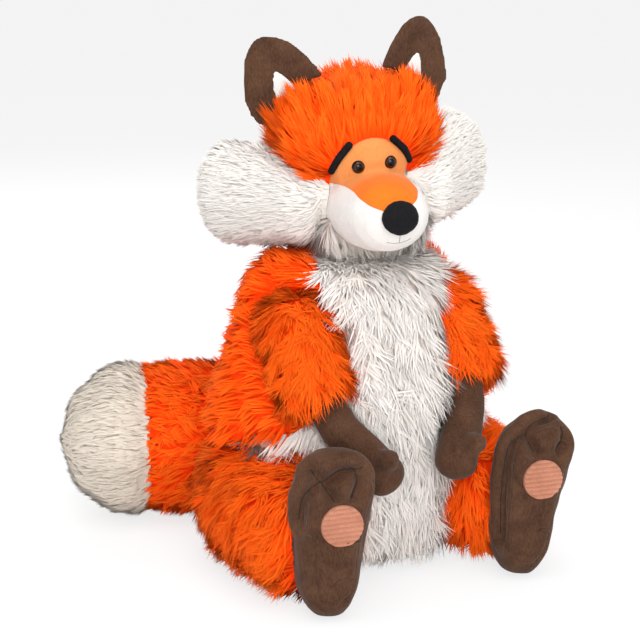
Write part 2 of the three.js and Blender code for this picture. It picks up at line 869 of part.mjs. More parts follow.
// Brows
const browAim = new THREE.Vector3(Math.cos(degToRad(browSlope)), 0, -Math.sin(degToRad(browSlope)));
const brow = {
  route: [-1, 0, 1].map((share) => {
    const place = new THREE.Vector3(browSpread, 0, browLift)
      .addScaledVector(browAim, browHalfLength * share);
    place.z += browSag * (1 - share ** 2);
    place.y = -browPadReach(place.x, place.z) - browRadius;
    return place;
  }),
  girths: [[browRadius, browRadius], [browRadius, browRadius]],
  startCap: browRadius,
  endCap: browRadius,
  across: back,
  sides: browSides,
  rings: browRings,
};
addPair('brow', cut(softForm(brow), face(seamGap)), blackPlush, headGroup);

// Eyes
const eyeSeat = browPadReach(eyeSpread, -eyeDrop) - eyeSink;
const eyeBack = new THREE.Vector3(eyeSpread, -eyeSeat, -eyeDrop);
const washerBack = eyeBack.clone().addScaledVector(back, shortPile + eyeWasherThickness);
const eyeStem = (grow) => discAhead(
  eyeBack.clone().addScaledVector(back, eyeStemLength),
  eyeStemRadius + grow,
  eyeStemLength + eyeDome / 2,
  eyeSegments,
);
const eyeDomeSolid = ellipsoid(eyeBack, eyeRadius, eyeDome, eyeRadius, eyeSegments)
  .intersect(aheadOf(eyeSeat));
const washer = (grow) => discAhead(
  washerBack.clone().addScaledVector(back, grow),
  eyeWasherRadius + grow,
  eyeWasherThickness + 2 * grow,
  eyeSegments,
);
addPair('eye', join(eyeDomeSolid, eyeStem(0)), glossyEye, headGroup);
addPair('eye_washer', cut(washer(0), eyeStem(seamGap)), washerPlastic, headGroup);
const eyeSocket = discAhead(
  eyeBack.clone().addScaledVector(back, seamGap),
  eyeRadius + seamGap,
  eyeDome * 2,
  eyeSegments,
);
const eyeRoom = onBothSides(join(eyeSocket, eyeStem(seamGap), washer(seamGap)));

// Nose
const noseMiddle = new THREE.Vector3(0, -snoutReach - noseProud, -noseDrop);
const nose = (grow) => ellipsoid(
  noseMiddle,
  noseHalfWidth + grow,
  noseHalfDepth + grow,
  noseHalfHeight + grow,
  noseSegments,
);
addPiece('nose', cut(nose(0), face(seamGap)), blackPlush, headGroup);

// Face
const faceRoom = join(allBeyond(new THREE.Vector3(0, -faceBack, 0), back), belowNeck, eyeRoom);
const faceSkin = cut(face(0), insideFace(shortPile), faceRoom);
const seamAim = new THREE.Vector3(0, -(snoutReach - faceBack), -faceSeamFall).cross(left);
const seamPoint = (rise) => new THREE.Vector3(0, -faceBack, -faceSeamDrop + rise);
const aboveFaceSeam = (rise) => allBeyond(seamPoint(rise), seamAim);
addPiece('face_panel', faceSkin.intersect(aboveFaceSeam(seamGap)), paleOrangePlush, headGroup);
addPiece('muzzle_panel', cut(faceSkin, aboveFaceSeam(0)), whitePlush, headGroup);

// Mouth: an upright stitch and a curved one under it, which follow the muzzle
const mouthShares = [-1, -0.5, 0, 0.5, 1];
const mouthHeight = (share) => -noseDrop - mouthBottom + mouthRise * share ** 2;
const mouthEdge = (half) => mouthShares.map((share) => new THREE.Vector2(
  mouthHalfWidth * share,
  mouthHeight(share) + half,
));
const mouthCurve = prismAhead(new THREE.Shape([
  ...mouthEdge(-threadRadius),
  ...mouthEdge(threadRadius).reverse(),
]));
const mouthUpright = prismAhead(new THREE.Shape([
  new THREE.Vector2(-threadRadius, mouthHeight(0)),
  new THREE.Vector2(threadRadius, mouthHeight(0)),
  new THREE.Vector2(threadRadius, -noseDrop - mouthTop),
  new THREE.Vector2(-threadRadius, -noseDrop - mouthTop),
]));
const onMuzzle = cut(
  softForm(snout, seamGap + 2 * threadRadius),
  softForm(snout, seamGap),
  nose(seamGap),
  faceRoom,
);
addPiece('mouth_stitches', onMuzzle.intersect(join(mouthCurve, mouthUpright)), darkThread, headGroup);

// Head and cheeks
const bothCheeks = (grow) => onBothSides(softForm(cheek, grow));
const insideCheeks = (wall) => onBothSides(inside(cheek, wall));
const faceWindow = new THREE.Shape();
faceWindow.absellipse(
  0,
  (faceWindowTop - faceWindowBottom) / 2,
  faceWindowHalfWidth,
  (faceWindowTop + faceWindowBottom) / 2,
  0,
  fullTurn,
);
const faceOpening = prismAhead(faceWindow).intersect(aheadOf(faceBack));
const bothBrows = onBothSides(softForm(brow, seamGap));
const headCore = join(inside(head, longPile), insideCheeks(longPile));
const faceCutter = join(face(seamGap), faceOpening, bothBrows);
const headSkin = cut(softForm(head), headCore, bothCheeks(seamGap), faceCutter, belowNeck);
const throatRegion = (grow) => prismAhead(new THREE.Shape([
  new THREE.Vector2(-throatHalfWidth - grow, -throatTop + grow),
  new THREE.Vector2(-throatNeckHalfWidth - grow, -headUnder),
  new THREE.Vector2(throatNeckHalfWidth + grow, -headUnder),
  new THREE.Vector2(throatHalfWidth + grow, -throatTop + grow),
])).intersect(aheadOf(-grow));
addPiece('head_crown_fur', cut(headSkin, throatRegion(seamGap)), orangeFur, headGroup);
addPiece('throat_fur', headSkin.intersect(throatRegion(0)), whiteFur, headGroup);
addPair('cheek_fur', cut(softForm(cheek), headCore, faceCutter, belowNeck), whiteFur, headGroup);
const headFilling = cut(
  join(inside(head, innerGap), insideCheeks(innerGap)),
  face(seamGap).intersect(aheadOf(faceBack - seamGap)),
  faceOpening,
);
addPiece(
  'head_stuffing',
  cut(join(headFilling, insideFace(shortPile + seamGap)), belowNeck, eyeRoom, bothBrows),
  fibreStuffing,
  headGroup,
);

// Ears
function earPart(height, halfWidth, thickness, lift, forward, grow) {
  const form = {
    route: earGirthShares.map(([share]) => new THREE.Vector3(0, -forward, lift + height * share)),
    girths: earGirthShares.map(([, wide, deep]) => [halfWidth * wide, (thickness / 2) * deep]),
    startCap: earCap,
    endCap: earCap,
    sides: earSides,
    rings: earRings,
    bend: (point) => {
      point.y -= earCup * (point.x / earHalfWidth) ** 2;
    },
  };
  return softForm(form, grow);
}
const earPlace = new THREE.Matrix4().makeTranslation(earSpread, earBackSet, earLift);
earPlace.multiply(new THREE.Matrix4().makeRotationY(degToRad(earLean)));
earPlace.multiply(new THREE.Matrix4().makeRotationZ(degToRad(earOpen)));
const earLining = (grow) => earPart(
  earLiningHeight,
  earLiningHalfWidth,
  earLiningThickness,
  earLiningLift,
  earThickness / 2,
  grow,
);
const ear = cut(earPart(earHeight, earHalfWidth, earThickness, 0, 0, 0), earLining(seamGap));
addPair(
  'ear_back',
  cut(moved(ear, earPlace), softForm(head, seamGap), softForm(cheek, seamGap)),
  brownPlush,
  headGroup,
);
addPair('ear_lining', cut(moved(earLining(0), earPlace), softForm(head, seamGap)), whitePlush, headGroup);

export default fox;
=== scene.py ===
import math

import bmesh
import bpy
import numpy as np
from mathutils import Matrix, Vector, noise
from mathutils.bvhtree import BVHTree
from mathutils.kdtree import KDTree


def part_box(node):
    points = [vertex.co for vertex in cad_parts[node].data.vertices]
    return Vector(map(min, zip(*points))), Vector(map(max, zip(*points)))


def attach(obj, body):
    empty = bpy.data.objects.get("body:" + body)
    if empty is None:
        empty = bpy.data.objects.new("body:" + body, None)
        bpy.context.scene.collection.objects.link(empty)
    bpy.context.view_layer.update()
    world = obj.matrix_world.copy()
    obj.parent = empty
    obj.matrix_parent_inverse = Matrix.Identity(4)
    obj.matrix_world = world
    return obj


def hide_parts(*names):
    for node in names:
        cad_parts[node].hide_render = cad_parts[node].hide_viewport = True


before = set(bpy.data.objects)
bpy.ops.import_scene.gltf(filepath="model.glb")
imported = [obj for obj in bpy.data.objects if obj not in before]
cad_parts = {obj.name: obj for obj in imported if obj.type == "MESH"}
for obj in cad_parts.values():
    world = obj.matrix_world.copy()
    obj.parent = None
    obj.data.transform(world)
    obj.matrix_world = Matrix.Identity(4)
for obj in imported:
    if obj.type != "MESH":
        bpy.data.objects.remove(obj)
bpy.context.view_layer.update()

# A seated plush fox: shaggy orange and white fur, short brown plush, a turned head, a thick tail.
# Metres, +Z up. The fox faces -Y and its right side is -X. The fox's sizes in the tables are millimetres.
scene = bpy.context.scene
scene.view_settings.view_transform = "Standard"
mm = 0.001
sides = {"left": 1, "right": -1}
surfaceGap = 0.2 * mm  # between the floor and what rests on it
weldGap = mm / 100  # corners nearer than this are merged

# The head's own frame: its middle, turned and rolled by so many degrees
headPose = {"middle": 320, "turn": -17, "roll": -6.5}
headFrame = (Matrix.Translation((0, 0, headPose["middle"] * mm))
             @ Matrix.Rotation(math.radians(headPose["turn"]), 4, "Z")
             @ Matrix.Rotation(math.radians(headPose["roll"]), 4, "Y"))

# The feet's own frames: the sole looks along -Y, and the toes lean over by so many millimetres
feet = {
    "left": {"place": (84, -98), "lean": 12},
    "right": {"place": (-84, -90), "lean": 4},
}
footTurn = -19
for look in feet.values():
    look["frame"] = (Matrix.Translation((look["place"][0] * mm, look["place"][1] * mm, 0))
                     @ Matrix.Rotation(math.radians(footTurn), 4, "Z"))

# Camera, lamps and floor
camera = {"place": (-0.6528, -1.0280, 0.4821), "aim": (-0.0248, 0.0149, 0.1906), "lens": 90,
          "sensor": 36, "farthest": 50}
lights = {
    "world": 0.82,
    "key": {"place": (-1.0, -1.9, 1.0), "size": 1.6, "power": 31},
    "fill": {"place": (1.5, -1.4, 0.5), "size": 1.6, "power": 5},
    "top": {"place": (-0.4, -0.6, 2.1), "size": 1.6, "power": 20},
    "back": {"place": (0.3, 1.6, 1.4), "size": 1.4, "power": 14},
    "glint": {"place": (-0.7, -1.6, 1.0), "size": 0.14, "power": 2},
}
lampAim = (0, 0, 0.2)
floor = {"size": 20, "color": 0.9, "plain": 0.75}  # plain: the share of it that is shown without shade


def setCamera():
    data = bpy.data.cameras.new("camera")
    data.lens = camera["lens"]
    data.sensor_width = camera["sensor"]
    data.clip_end = camera["farthest"]
    obj = placed("camera", data)
    place = Vector(camera["place"])
    obj.location = place
    obj.rotation_euler = (Vector(camera["aim"]) - place).to_track_quat("-Z", "Y").to_euler()
    scene.camera = obj


# 1 where the camera looks straight at a surface, or sees it mirrored
def seenDirectly(tree):
    path = tree.nodes.new("ShaderNodeLightPath")
    seen = tree.nodes.new("ShaderNodeMath")
    seen.operation = "MAXIMUM"
    tree.links.new(path.outputs["Is Camera Ray"], seen.inputs[0])
    tree.links.new(path.outputs["Is Glossy Ray"], seen.inputs[1])
    return seen.outputs[0]


# Mixes two shaders by a share and puts them out
def mixedOut(tree, kind, share, first, second):
    mix = tree.nodes.new("ShaderNodeMixShader")
    out = tree.nodes.new(kind)
    tree.links.new(share, mix.inputs["Fac"])
    tree.links.new(first.outputs[0], mix.inputs[1])
    tree.links.new(second.outputs[0], mix.inputs[2])
    tree.links.new(mix.outputs[0], out.inputs["Surface"])


def setLights():
    world = bpy.data.worlds.new("studio")
    scene.world = world
    world.use_nodes = True
    tree = world.node_tree
    tree.nodes.clear()
    soft = tree.nodes.new("ShaderNodeBackground")
    soft.inputs["Strength"].default_value = lights["world"]
    white = tree.nodes.new("ShaderNodeBackground")
    mixedOut(tree, "ShaderNodeOutputWorld", seenDirectly(tree), soft, white)
    for name in ("key", "fill", "top", "back", "glint"):
        look = lights[name]
        data = bpy.data.lights.new(name, "AREA")
        data.shape = "DISK"
        data.size = look["size"]
        data.energy = look["power"]
        obj = placed(name, data)
        obj.location = look["place"]
        obj.rotation_euler = (Vector(lampAim) - obj.location).to_track_quat("-Z", "Y").to_euler()


def setFloor():
    bm = bmesh.new()
    bmesh.ops.create_grid(bm, x_segments=1, y_segments=1, size=floor["size"])
    sheet = newObject("floor", bm)
    material = bpy.data.materials.new("pale floor")
    material.use_nodes = True
    tree = material.node_tree
    tree.nodes.clear()
    lit = tree.nodes.new("ShaderNodeBsdfDiffuse")
    lit.inputs["Color"].default_value = (floor["color"],) * 3 + (1,)
    plain = tree.nodes.new("ShaderNodeEmission")
    share = tree.nodes.new("ShaderNodeMath")
    share.operation = "MULTIPLY"
    share.inputs[1].default_value = floor["plain"]
    tree.links.new(seenDirectly(tree), share.inputs[0])
    mixedOut(tree, "ShaderNodeOutputMaterial", share.outputs[0], lit, plain)
    sheet.data.materials.append(material)


# Helpers for meshes
def placed(name, data):
    obj = bpy.data.objects.new(name, data)
    scene.collection.objects.link(obj)
    return obj


def newObject(name, bm):
    mesh = bpy.data.meshes.new(name)
    bm.to_mesh(mesh)
    bm.free()
    mesh.shade_smooth()
    return placed(name, mesh)


# The mesh of an object with its modifiers applied. The object itself goes.
def applied(obj):
    mesh = bpy.data.meshes.new_from_object(obj.evaluated_get(bpy.context.evaluated_depsgraph_get()))
    bpy.data.objects.remove(obj)
    return mesh


def bmeshOf(mesh):
    bm = bmesh.new()
    bm.from_mesh(mesh)
    bpy.data.meshes.remove(mesh)
    return bm


def kdTreeOf(points):
    tree = KDTree(len(points))
    for i, point in enumerate(points):
        tree.insert(point, i)
    tree.balance()
    return tree


# Copies of CAD nodes in one mesh, with their loose corners merged
def copyOf(nodes):
    bm = bmesh.new()
    for node in nodes:
        bm.from_mesh(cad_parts[node].data)
    bmesh.ops.remove_doubles(bm, verts=bm.verts, dist=weldGap)
    return bm


def treeOf(nodes):
    bm = copyOf(nodes)
    tree = BVHTree.FromBMesh(bm)
    bm.free()
    return tree


def keepLargest(bm):
    unseen = set(bm.verts)
    islands = []
    while unseen:
        island = [unseen.pop()]
        for vert in island:
            for edge in vert.link_edges:
                other = edge.other_vert(vert)
                if other in unseen:
                    unseen.discard(other)
                    island.append(other)
        islands.append(island)
    islands.sort(key=len)
    bmesh.ops.delete(bm, geom=[vert for island in islands[:-1] for vert in island], context="VERTS")


# One smooth closed surface round CAD nodes: its voxel, the rounds of smoothing, and how far it grows
def softened(nodes, look):
    obj = newObject("form", copyOf(nodes))
    remesh = obj.modifiers.new("remesh", "REMESH")
    remesh.mode = "VOXEL"
    remesh.voxel_size = look["voxel"] * mm
    relax = obj.modifiers.new("relax", "SMOOTH")
    relax.factor = 0.5
    relax.iterations = look["smooth"]
    swell = obj.modifiers.new("swell", "DISPLACE")
    swell.mid_level = 0
    swell.strength = look["grow"] * mm
    bm = bmeshOf(applied(obj))
    keepLargest(bm)
    bm.normal_update()
    return bm


# Lone patches of a part join the part round them
def joined(bm, owner, name):
    unseen = {face for face in bm.faces if owner[face.index] == name}
    patches = []
    for first in bm.faces:
        if first not in unseen:
            continue
        unseen.discard(first)
        patch = [first]
        for face in patch:
            for edge in face.edges:
                for other in edge.link_faces:
                    if other in unseen:
                        unseen.discard(other)
                        patch.append(other)
        patches.append(patch)
    patches.sort(key=len)
    for patch in patches[:-1]:
        around = [owner[other.index] for face in patch for edge in face.edges for other in edge.link_faces
                  if owner[other.index] != name]
        for face in patch:
            owner[face.index] = max(sorted(set(around)), key=around.count)


# How a border is evened: the line itself, and the points beside it
evening = {"rounds": 10, "line": 0.5, "beside": 0.3}


# Cuts a surface into the parts that lie nearest to each group of CAD skins. The borders are evened
# out first, and can be drawn in like a seam. A favoured part reaches out over its neighbours.
def regions(bm, groups, seam=0, favour=None):
    trees = {name: treeOf(nodes) for name, nodes in groups.items()}
    favour = favour or {}
    owner = []
    for face in bm.faces:
        middle = face.calc_center_median()
        gaps = {name: tree.find_nearest(middle)[3] - favour.get(name, 0) * mm for name, tree in trees.items()}
        owner.append(min(gaps, key=gaps.get))
    bm.faces.index_update()
    for name in groups:
        joined(bm, owner, name)
    beside = {}
    for edge in bm.edges:
        if len({owner[face.index] for face in edge.link_faces}) > 1:
            for vert in edge.verts:
                beside.setdefault(vert, []).append(edge.other_vert(vert))
    near = [vert for vert in bm.verts if vert not in beside
            and any(edge.other_vert(vert) in beside for edge in vert.link_edges)]
    for step in range(evening["rounds"]):
        places = {vert: sum((other.co for other in others), Vector()) / len(others)
                  for vert, others in beside.items()}
        for vert, place in places.items():
            vert.co = vert.co.lerp(place, evening["line"])
        bmesh.ops.smooth_vert(bm, verts=near, factor=evening["beside"],
                              use_axis_x=True, use_axis_y=True, use_axis_z=True)
    for vert in beside:
        vert.co -= vert.normal * seam * mm
    parts = {}
    for name in groups:
        part = bm.copy()
        unwanted = [face for face, best in zip(part.faces, owner) if best != name]
        bmesh.ops.delete(part, geom=unwanted, context="FACES")
        keepLargest(part)
        parts[name] = part
    return parts


wallLimit = 1.3  # how many walls a point inside a skin may lie away from it


# Gives an open skin its thickness, inwards, so that it is closed. Points that a sharp fold sends
# farther out than the limit are drawn back.
def walled(bm, wall):
    skin = bm.copy()
    tree = BVHTree.FromBMesh(bm)
    bmesh.ops.solidify(skin, geom=skin.faces[:], thickness=wall * mm)
    limit = wallLimit * wall * mm
    for vert in skin.verts:
        place, normal, index, gap = tree.find_nearest(vert.co)
        if gap > limit:
            vert.co = place + (vert.co - place) * (limit / gap)
    bmesh.ops.recalc_face_normals(skin, faces=skin.faces)
    return skin


def finished(obj, body, material, replaced):
    obj.data.materials.clear()
    obj.data.materials.append(material)
    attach(obj, body)
    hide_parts(*replaced)


# Materials
def newMaterial(name):
    material = bpy.data.materials.new(name)
    material.use_nodes = True
    tree = material.node_tree
    shader = tree.nodes["Principled BSDF"]
    return material, tree, shader


def ramp(tree, stops):
    node = tree.nodes.new("ShaderNodeValToRGB")
    elements = node.color_ramp.elements
    while len(elements) < len(stops):
        elements.new(0.5)
    for element, (place, color) in zip(elements, stops):
        element.position = place
        element.color = (*color, 1)
    return node


# Short pile: fine grain, brushed patches
pile = {"detail": 3, "roughness": 0.65, "stroke": (1, 1, 0.35), "patchDetail": 2, "patchDistortion": 0.6,
        "patchShare": 0.45, "darkTo": 0.34, "lightFrom": 0.66, "height": 0.6, "sheenRoughness": 0.4}


def pileGroup():
    group = bpy.data.node_groups.new("short pile", "ShaderNodeTree")
    for socket, way in (("Grain", "INPUT"), ("Patch", "INPUT"), ("Shade", "OUTPUT"), ("Height", "OUTPUT")):
        group.interface.new_socket(socket, in_out=way, socket_type="NodeSocketFloat")
    given = group.nodes.new("NodeGroupInput")
    result = group.nodes.new("NodeGroupOutput")
    place = group.nodes.new("ShaderNodeTexCoord")
    grain = group.nodes.new("ShaderNodeTexNoise")
    grain.inputs["Detail"].default_value = pile["detail"]
    grain.inputs["Roughness"].default_value = pile["roughness"]
    patch = group.nodes.new("ShaderNodeTexNoise")
    patch.inputs["Detail"].default_value = pile["patchDetail"]
    patch.inputs["Distortion"].default_value = pile["patchDistortion"]
    stroked = group.nodes.new("ShaderNodeVectorMath")
    stroked.operation = "MULTIPLY"
    stroked.inputs[1].default_value = pile["stroke"]
    group.links.new(place.outputs["Object"], stroked.inputs[0])
    group.links.new(stroked.outputs[0], grain.inputs["Vector"])
    group.links.new(place.outputs["Object"], patch.inputs["Vector"])
    for node, socket in ((grain, "Grain"), (patch, "Patch")):
        group.links.new(given.outputs[socket], node.inputs["Scale"])
    mix = group.nodes.new("ShaderNodeMix")
    mix.inputs["Factor"].default_value = pile["patchShare"]
    group.links.new(grain.outputs["Fac"], mix.inputs["A"])
    group.links.new(patch.outputs["Fac"], mix.inputs["B"])
    group.links.new(mix.outputs["Result"], result.inputs["Shade"])
    group.links.new(grain.outputs["Fac"], result.inputs["Height"])
    return group


shortPile = pileGroup()


def plushMaterial(name, dark, light, grain=900, patch=55, depth=0.5, roughness=0.9, sheen=0.1, shine=0.2):
    material, tree, shader = newMaterial(name)
    group = tree.nodes.new("ShaderNodeGroup")
    group.node_tree = shortPile
    group.inputs["Grain"].default_value = grain
    group.inputs["Patch"].default_value = patch
    colors = ramp(tree, ((pile["darkTo"], dark), (pile["lightFrom"], light)))
    bump = tree.nodes.new("ShaderNodeBump")
    bump.inputs["Strength"].default_value = depth
    bump.inputs["Distance"].default_value = pile["height"] * mm
    tree.links.new(group.outputs["Shade"], colors.inputs["Fac"])
    tree.links.new(colors.outputs["Color"], shader.inputs["Base Color"])
    tree.links.new(group.outputs["Height"], bump.inputs["Height"])
    tree.links.new(bump.outputs["Normal"], shader.inputs["Normal"])
    shader.inputs["Roughness"].default_value = roughness
    shader.inputs["Specular IOR Level"].default_value = shine
    shader.inputs["Sheen Weight"].default_value = sheen
    shader.inputs["Sheen Roughness"].default_value = pile["sheenRoughness"]
    return material


# Long pile. Across the map each strand has its own shade, and up the map it runs from root to tip. The deeper
# root colour is partly the fur's own and partly painted shade, for the pile's shaded depths.
longPile = {"middleAt": 0.45, "oddFrom": 0.35, "oddMost": 0.75, "roughness": 0.8, "shine": 0.06}


def furMaterial(name, root, middle, tip, odd):
    material, tree, shader = newMaterial(name)
    where = tree.nodes.new("ShaderNodeUVMap")
    where.uv_map = "OFBake"
    parts = tree.nodes.new("ShaderNodeSeparateXYZ")
    along = ramp(tree, ((0, root), (longPile["middleAt"], middle), (1, tip)))
    across = tree.nodes.new("ShaderNodeMapRange")
    across.inputs["From Min"].default_value = longPile["oddFrom"]
    across.inputs["To Max"].default_value = longPile["oddMost"]
    mix = tree.nodes.new("ShaderNodeMix")
    mix.data_type = "RGBA"
    mix.inputs["B"].default_value = (*odd, 1)
    tree.links.new(where.outputs["UV"], parts.inputs[0])
    tree.links.new(parts.outputs["Y"], along.inputs["Fac"])
    tree.links.new(parts.outputs["X"], across.inputs["Value"])
    tree.links.new(across.outputs["Result"], mix.inputs["Factor"])
    tree.links.new(along.outputs["Color"], mix.inputs["A"])
    tree.links.new(mix.outputs["Result"], shader.inputs["Base Color"])
    shader.inputs["Roughness"].default_value = longPile["roughness"]
    shader.inputs["Specular IOR Level"].default_value = longPile["shine"]
    return material


# Orange fur: the deep red at the roots is partly the fur's own colour and partly painted shade, the red
# bounced light in the pile's depths
orangeFur = furMaterial("orange fur", root=(1.0, 0.042, 0.001), middle=(1.0, 0.088, 0.003),
                        tip=(1.0, 0.160, 0.010), odd=(1.0, 0.050, 0.001))
# White belly fur: the warm beige at the roots, warmer than the cheeks', is partly painted shade, the orange
# bounced light on the belly
whiteFur = furMaterial("white fur", root=(0.74, 0.63, 0.56), middle=(0.81, 0.75, 0.70),
                       tip=(0.86, 0.82, 0.79), odd=(0.76, 0.67, 0.61))
cheekWhite = furMaterial("cheek fur", root=(0.81, 0.76, 0.70), middle=(0.84, 0.795, 0.745),
                         tip=(0.86, 0.825, 0.785), odd=(0.80, 0.75, 0.69))
creamFur = furMaterial("cream fur", root=(0.69, 0.60, 0.49), middle=(0.72, 0.64, 0.54),
                       tip=(0.75, 0.68, 0.59), odd=(0.67, 0.58, 0.47))
brownPlush = plushMaterial("brown plush", dark=(0.042, 0.0185, 0.010), light=(0.102, 0.049, 0.028), shine=0.1)
faceOrange = plushMaterial("pale orange plush", dark=(0.62, 0.20, 0.050), light=(0.70, 0.255, 0.076),
                           depth=0.35)
faceWhite = plushMaterial("white plush", dark=(0.64, 0.62, 0.59), light=(0.73, 0.715, 0.69), depth=0.35)
blackPlush = plushMaterial("black plush", dark=(0.004, 0.004, 0.005), light=(0.012, 0.011, 0.012),
                           roughness=0.8, sheen=0.02, shine=0.08)
padPink = plushMaterial("pink corduroy", dark=(0.33, 0.125, 0.072), light=(0.50, 0.225, 0.145), grain=1500)
fibre = plushMaterial("stuffing fibre", dark=(0.80, 0.80, 0.80), light=(0.92, 0.92, 0.92),
                      grain=260, patch=40)
pelletCloth = plushMaterial("pellet cloth", dark=(0.50, 0.47, 0.40), light=(0.64, 0.61, 0.52),
                            grain=1400, patch=90)
washerPlastic = plushMaterial("washer plastic", dark=(0.66, 0.66, 0.63), light=(0.72, 0.72, 0.69),
                              grain=400, depth=0.05, roughness=0.5, sheen=0)
darkThread = plushMaterial("dark thread", dark=(0.010, 0.008, 0.007), light=(0.030, 0.024, 0.020), grain=2500)
mouthThread = plushMaterial("mouth thread", dark=(0.22, 0.20, 0.19), light=(0.34, 0.32, 0.31), grain=2500)


# The face's orange deepens from the forehead to the snout
snout = {"tint": (1.16, 0.70, 0.16), "start": 46, "reach": 20}


def deepen(material, look):
    tree = material.node_tree
    shader = tree.nodes["Principled BSDF"]
    colors = shader.inputs["Base Color"].links[0].from_socket
    place = tree.nodes.new("ShaderNodeTexCoord")
    along = tree.nodes.new("ShaderNodeVectorMath")
    along.operation = "DOT_PRODUCT"
    ahead = headFrame.to_3x3() @ Vector((0, -1, 0))
    along.inputs[1].default_value = ahead
    share = tree.nodes.new("ShaderNodeMapRange")
    share.interpolation_type = "SMOOTHSTEP"
    middle = ahead.dot(headFrame.translation)
    share.inputs["From Min"].default_value = middle + look["start"] * mm
    share.inputs["From Max"].default_value = middle + (look["start"] + look["reach"]) * mm
    mix = tree.nodes.new("ShaderNodeMix")
    mix.data_type = "RGBA"
    mix.blend_type = "MULTIPLY"
    mix.inputs["B"].default_value = (*look["tint"], 1)
    tree.links.new(place.outputs["Object"], along.inputs[0])
    tree.links.new(along.outputs["Value"], share.inputs["Value"])
    tree.links.new(share.outputs["Result"], mix.inputs["Factor"])
    tree.links.new(colors, mix.inputs["A"])
    tree.links.new(mix.outputs["Result"], shader.inputs["Base Color"])


deepen(faceOrange, snout)


# Fur. Every strand is a closed tuft with a few faces. Angles are degrees, and most else is a share.
strand = {
    "sides": 3, "waist": 0.45, "taper": 2.4, "flat": 0.55, "widths": (0.75, 1.2), "lengths": (0.82, 1.1),
    "bend": 0.35, "sway": 0.05, "waves": 4, "gather": 0.8, "combStray": 0.35, "liftStray": 5,
    "lowest": 5, "steepest": 85,
    "shades": (0.01, 0.97), "shadeStray": 0.1, "reliefStray": 0.7, "litAlong": 0.25,
    "mapSpread": 0.006, "mapRoot": 0.08, "mapRun": 0.9,
    "clearFrom": 0.04, "least": 0.35, "gap": 0.05, "shortest": 0.1,  # where another piece is in its way
}
lockLook = {"lengths": (0.78, 1.15), "liftStray": 9, "shade": 0.42, "shadeStray": 0.2}


def lockForm():
    bm = bmesh.new()
    bmesh.ops.create_cone(bm, cap_ends=True, cap_tris=False, segments=strand["sides"], radius1=1, radius2=0,
                          depth=1, matrix=Matrix.Translation((0, 0, 0.5)))
    bmesh.ops.remove_doubles(bm, verts=bm.verts, dist=weldGap)
    bmesh.ops.bisect_plane(bm, geom=bm.verts[:] + bm.edges[:] + bm.faces[:],
                           plane_co=(0, 0, strand["waist"]), plane_no=(0, 0, 1))
    bmesh.ops.triangulate(bm, faces=bm.faces)
    bm.verts.index_update()
    along = np.array([vert.co.z for vert in bm.verts])
    angle = np.array([math.atan2(vert.co.y, vert.co.x) for vert in bm.verts])
    faces = np.array([[vert.index for vert in face.verts] for face in bm.faces])
    bm.free()
    return along, angle, faces


lockAlong, lockAngle, lockFaces = lockForm()


def unit(vectors):
    return vectors / np.maximum(np.linalg.norm(vectors, axis=-1, keepdims=True), 1e-9)


def scattered(bm, count, random):
    flat = bm.copy()
    bmesh.ops.triangulate(flat, faces=flat.faces)
    corners = np.array([[vert.co for vert in face.verts] for face in flat.faces])
    normals = np.array([[vert.normal for vert in face.verts] for face in flat.faces])
    flat.free()
    area = np.linalg.norm(np.cross(corners[:, 1] - corners[:, 0], corners[:, 2] - corners[:, 0]), axis=1)
    pick = random.choice(len(area), count, p=area / area.sum())
    a, b = random.random((2, count))
    over = a + b > 1
    a[over], b[over] = 1 - a[over], 1 - b[over]
    weights = np.stack([1 - a - b, a, b], axis=1)[:, :, None]
    return (corners[pick] * weights).sum(axis=1), unit((normals[pick] * weights).sum(axis=1))


# Which way the pile is combed at each root: towards a direction, and away from a place
def combed(roots, normals, look):
    turn = look.get("frame", Matrix.Identity(4))
    towards = np.array(turn.to_3x3() @ Vector(look["towards"]))
    flow = np.tile(towards, (len(roots), 1))
    for place, share in look.get("away", ()):
        flow = flow + share * unit(roots - np.array(turn @ (Vector(place) * mm)))
    flow -= normals * (flow * normals).sum(axis=1, keepdims=True)
    return unit(flow)


def nearestOf(centres, points):
    tree = kdTreeOf(centres)
    return np.array([tree.find(point)[1] for point in points])


def turned(vectors, axes, angles):
    angles = angles[:, None]
    return (vectors * np.cos(angles) + np.cross(axes, vectors) * np.sin(angles)
            + axes * (axes * vectors).sum(axis=1, keepdims=True) * (1 - np.cos(angles)))


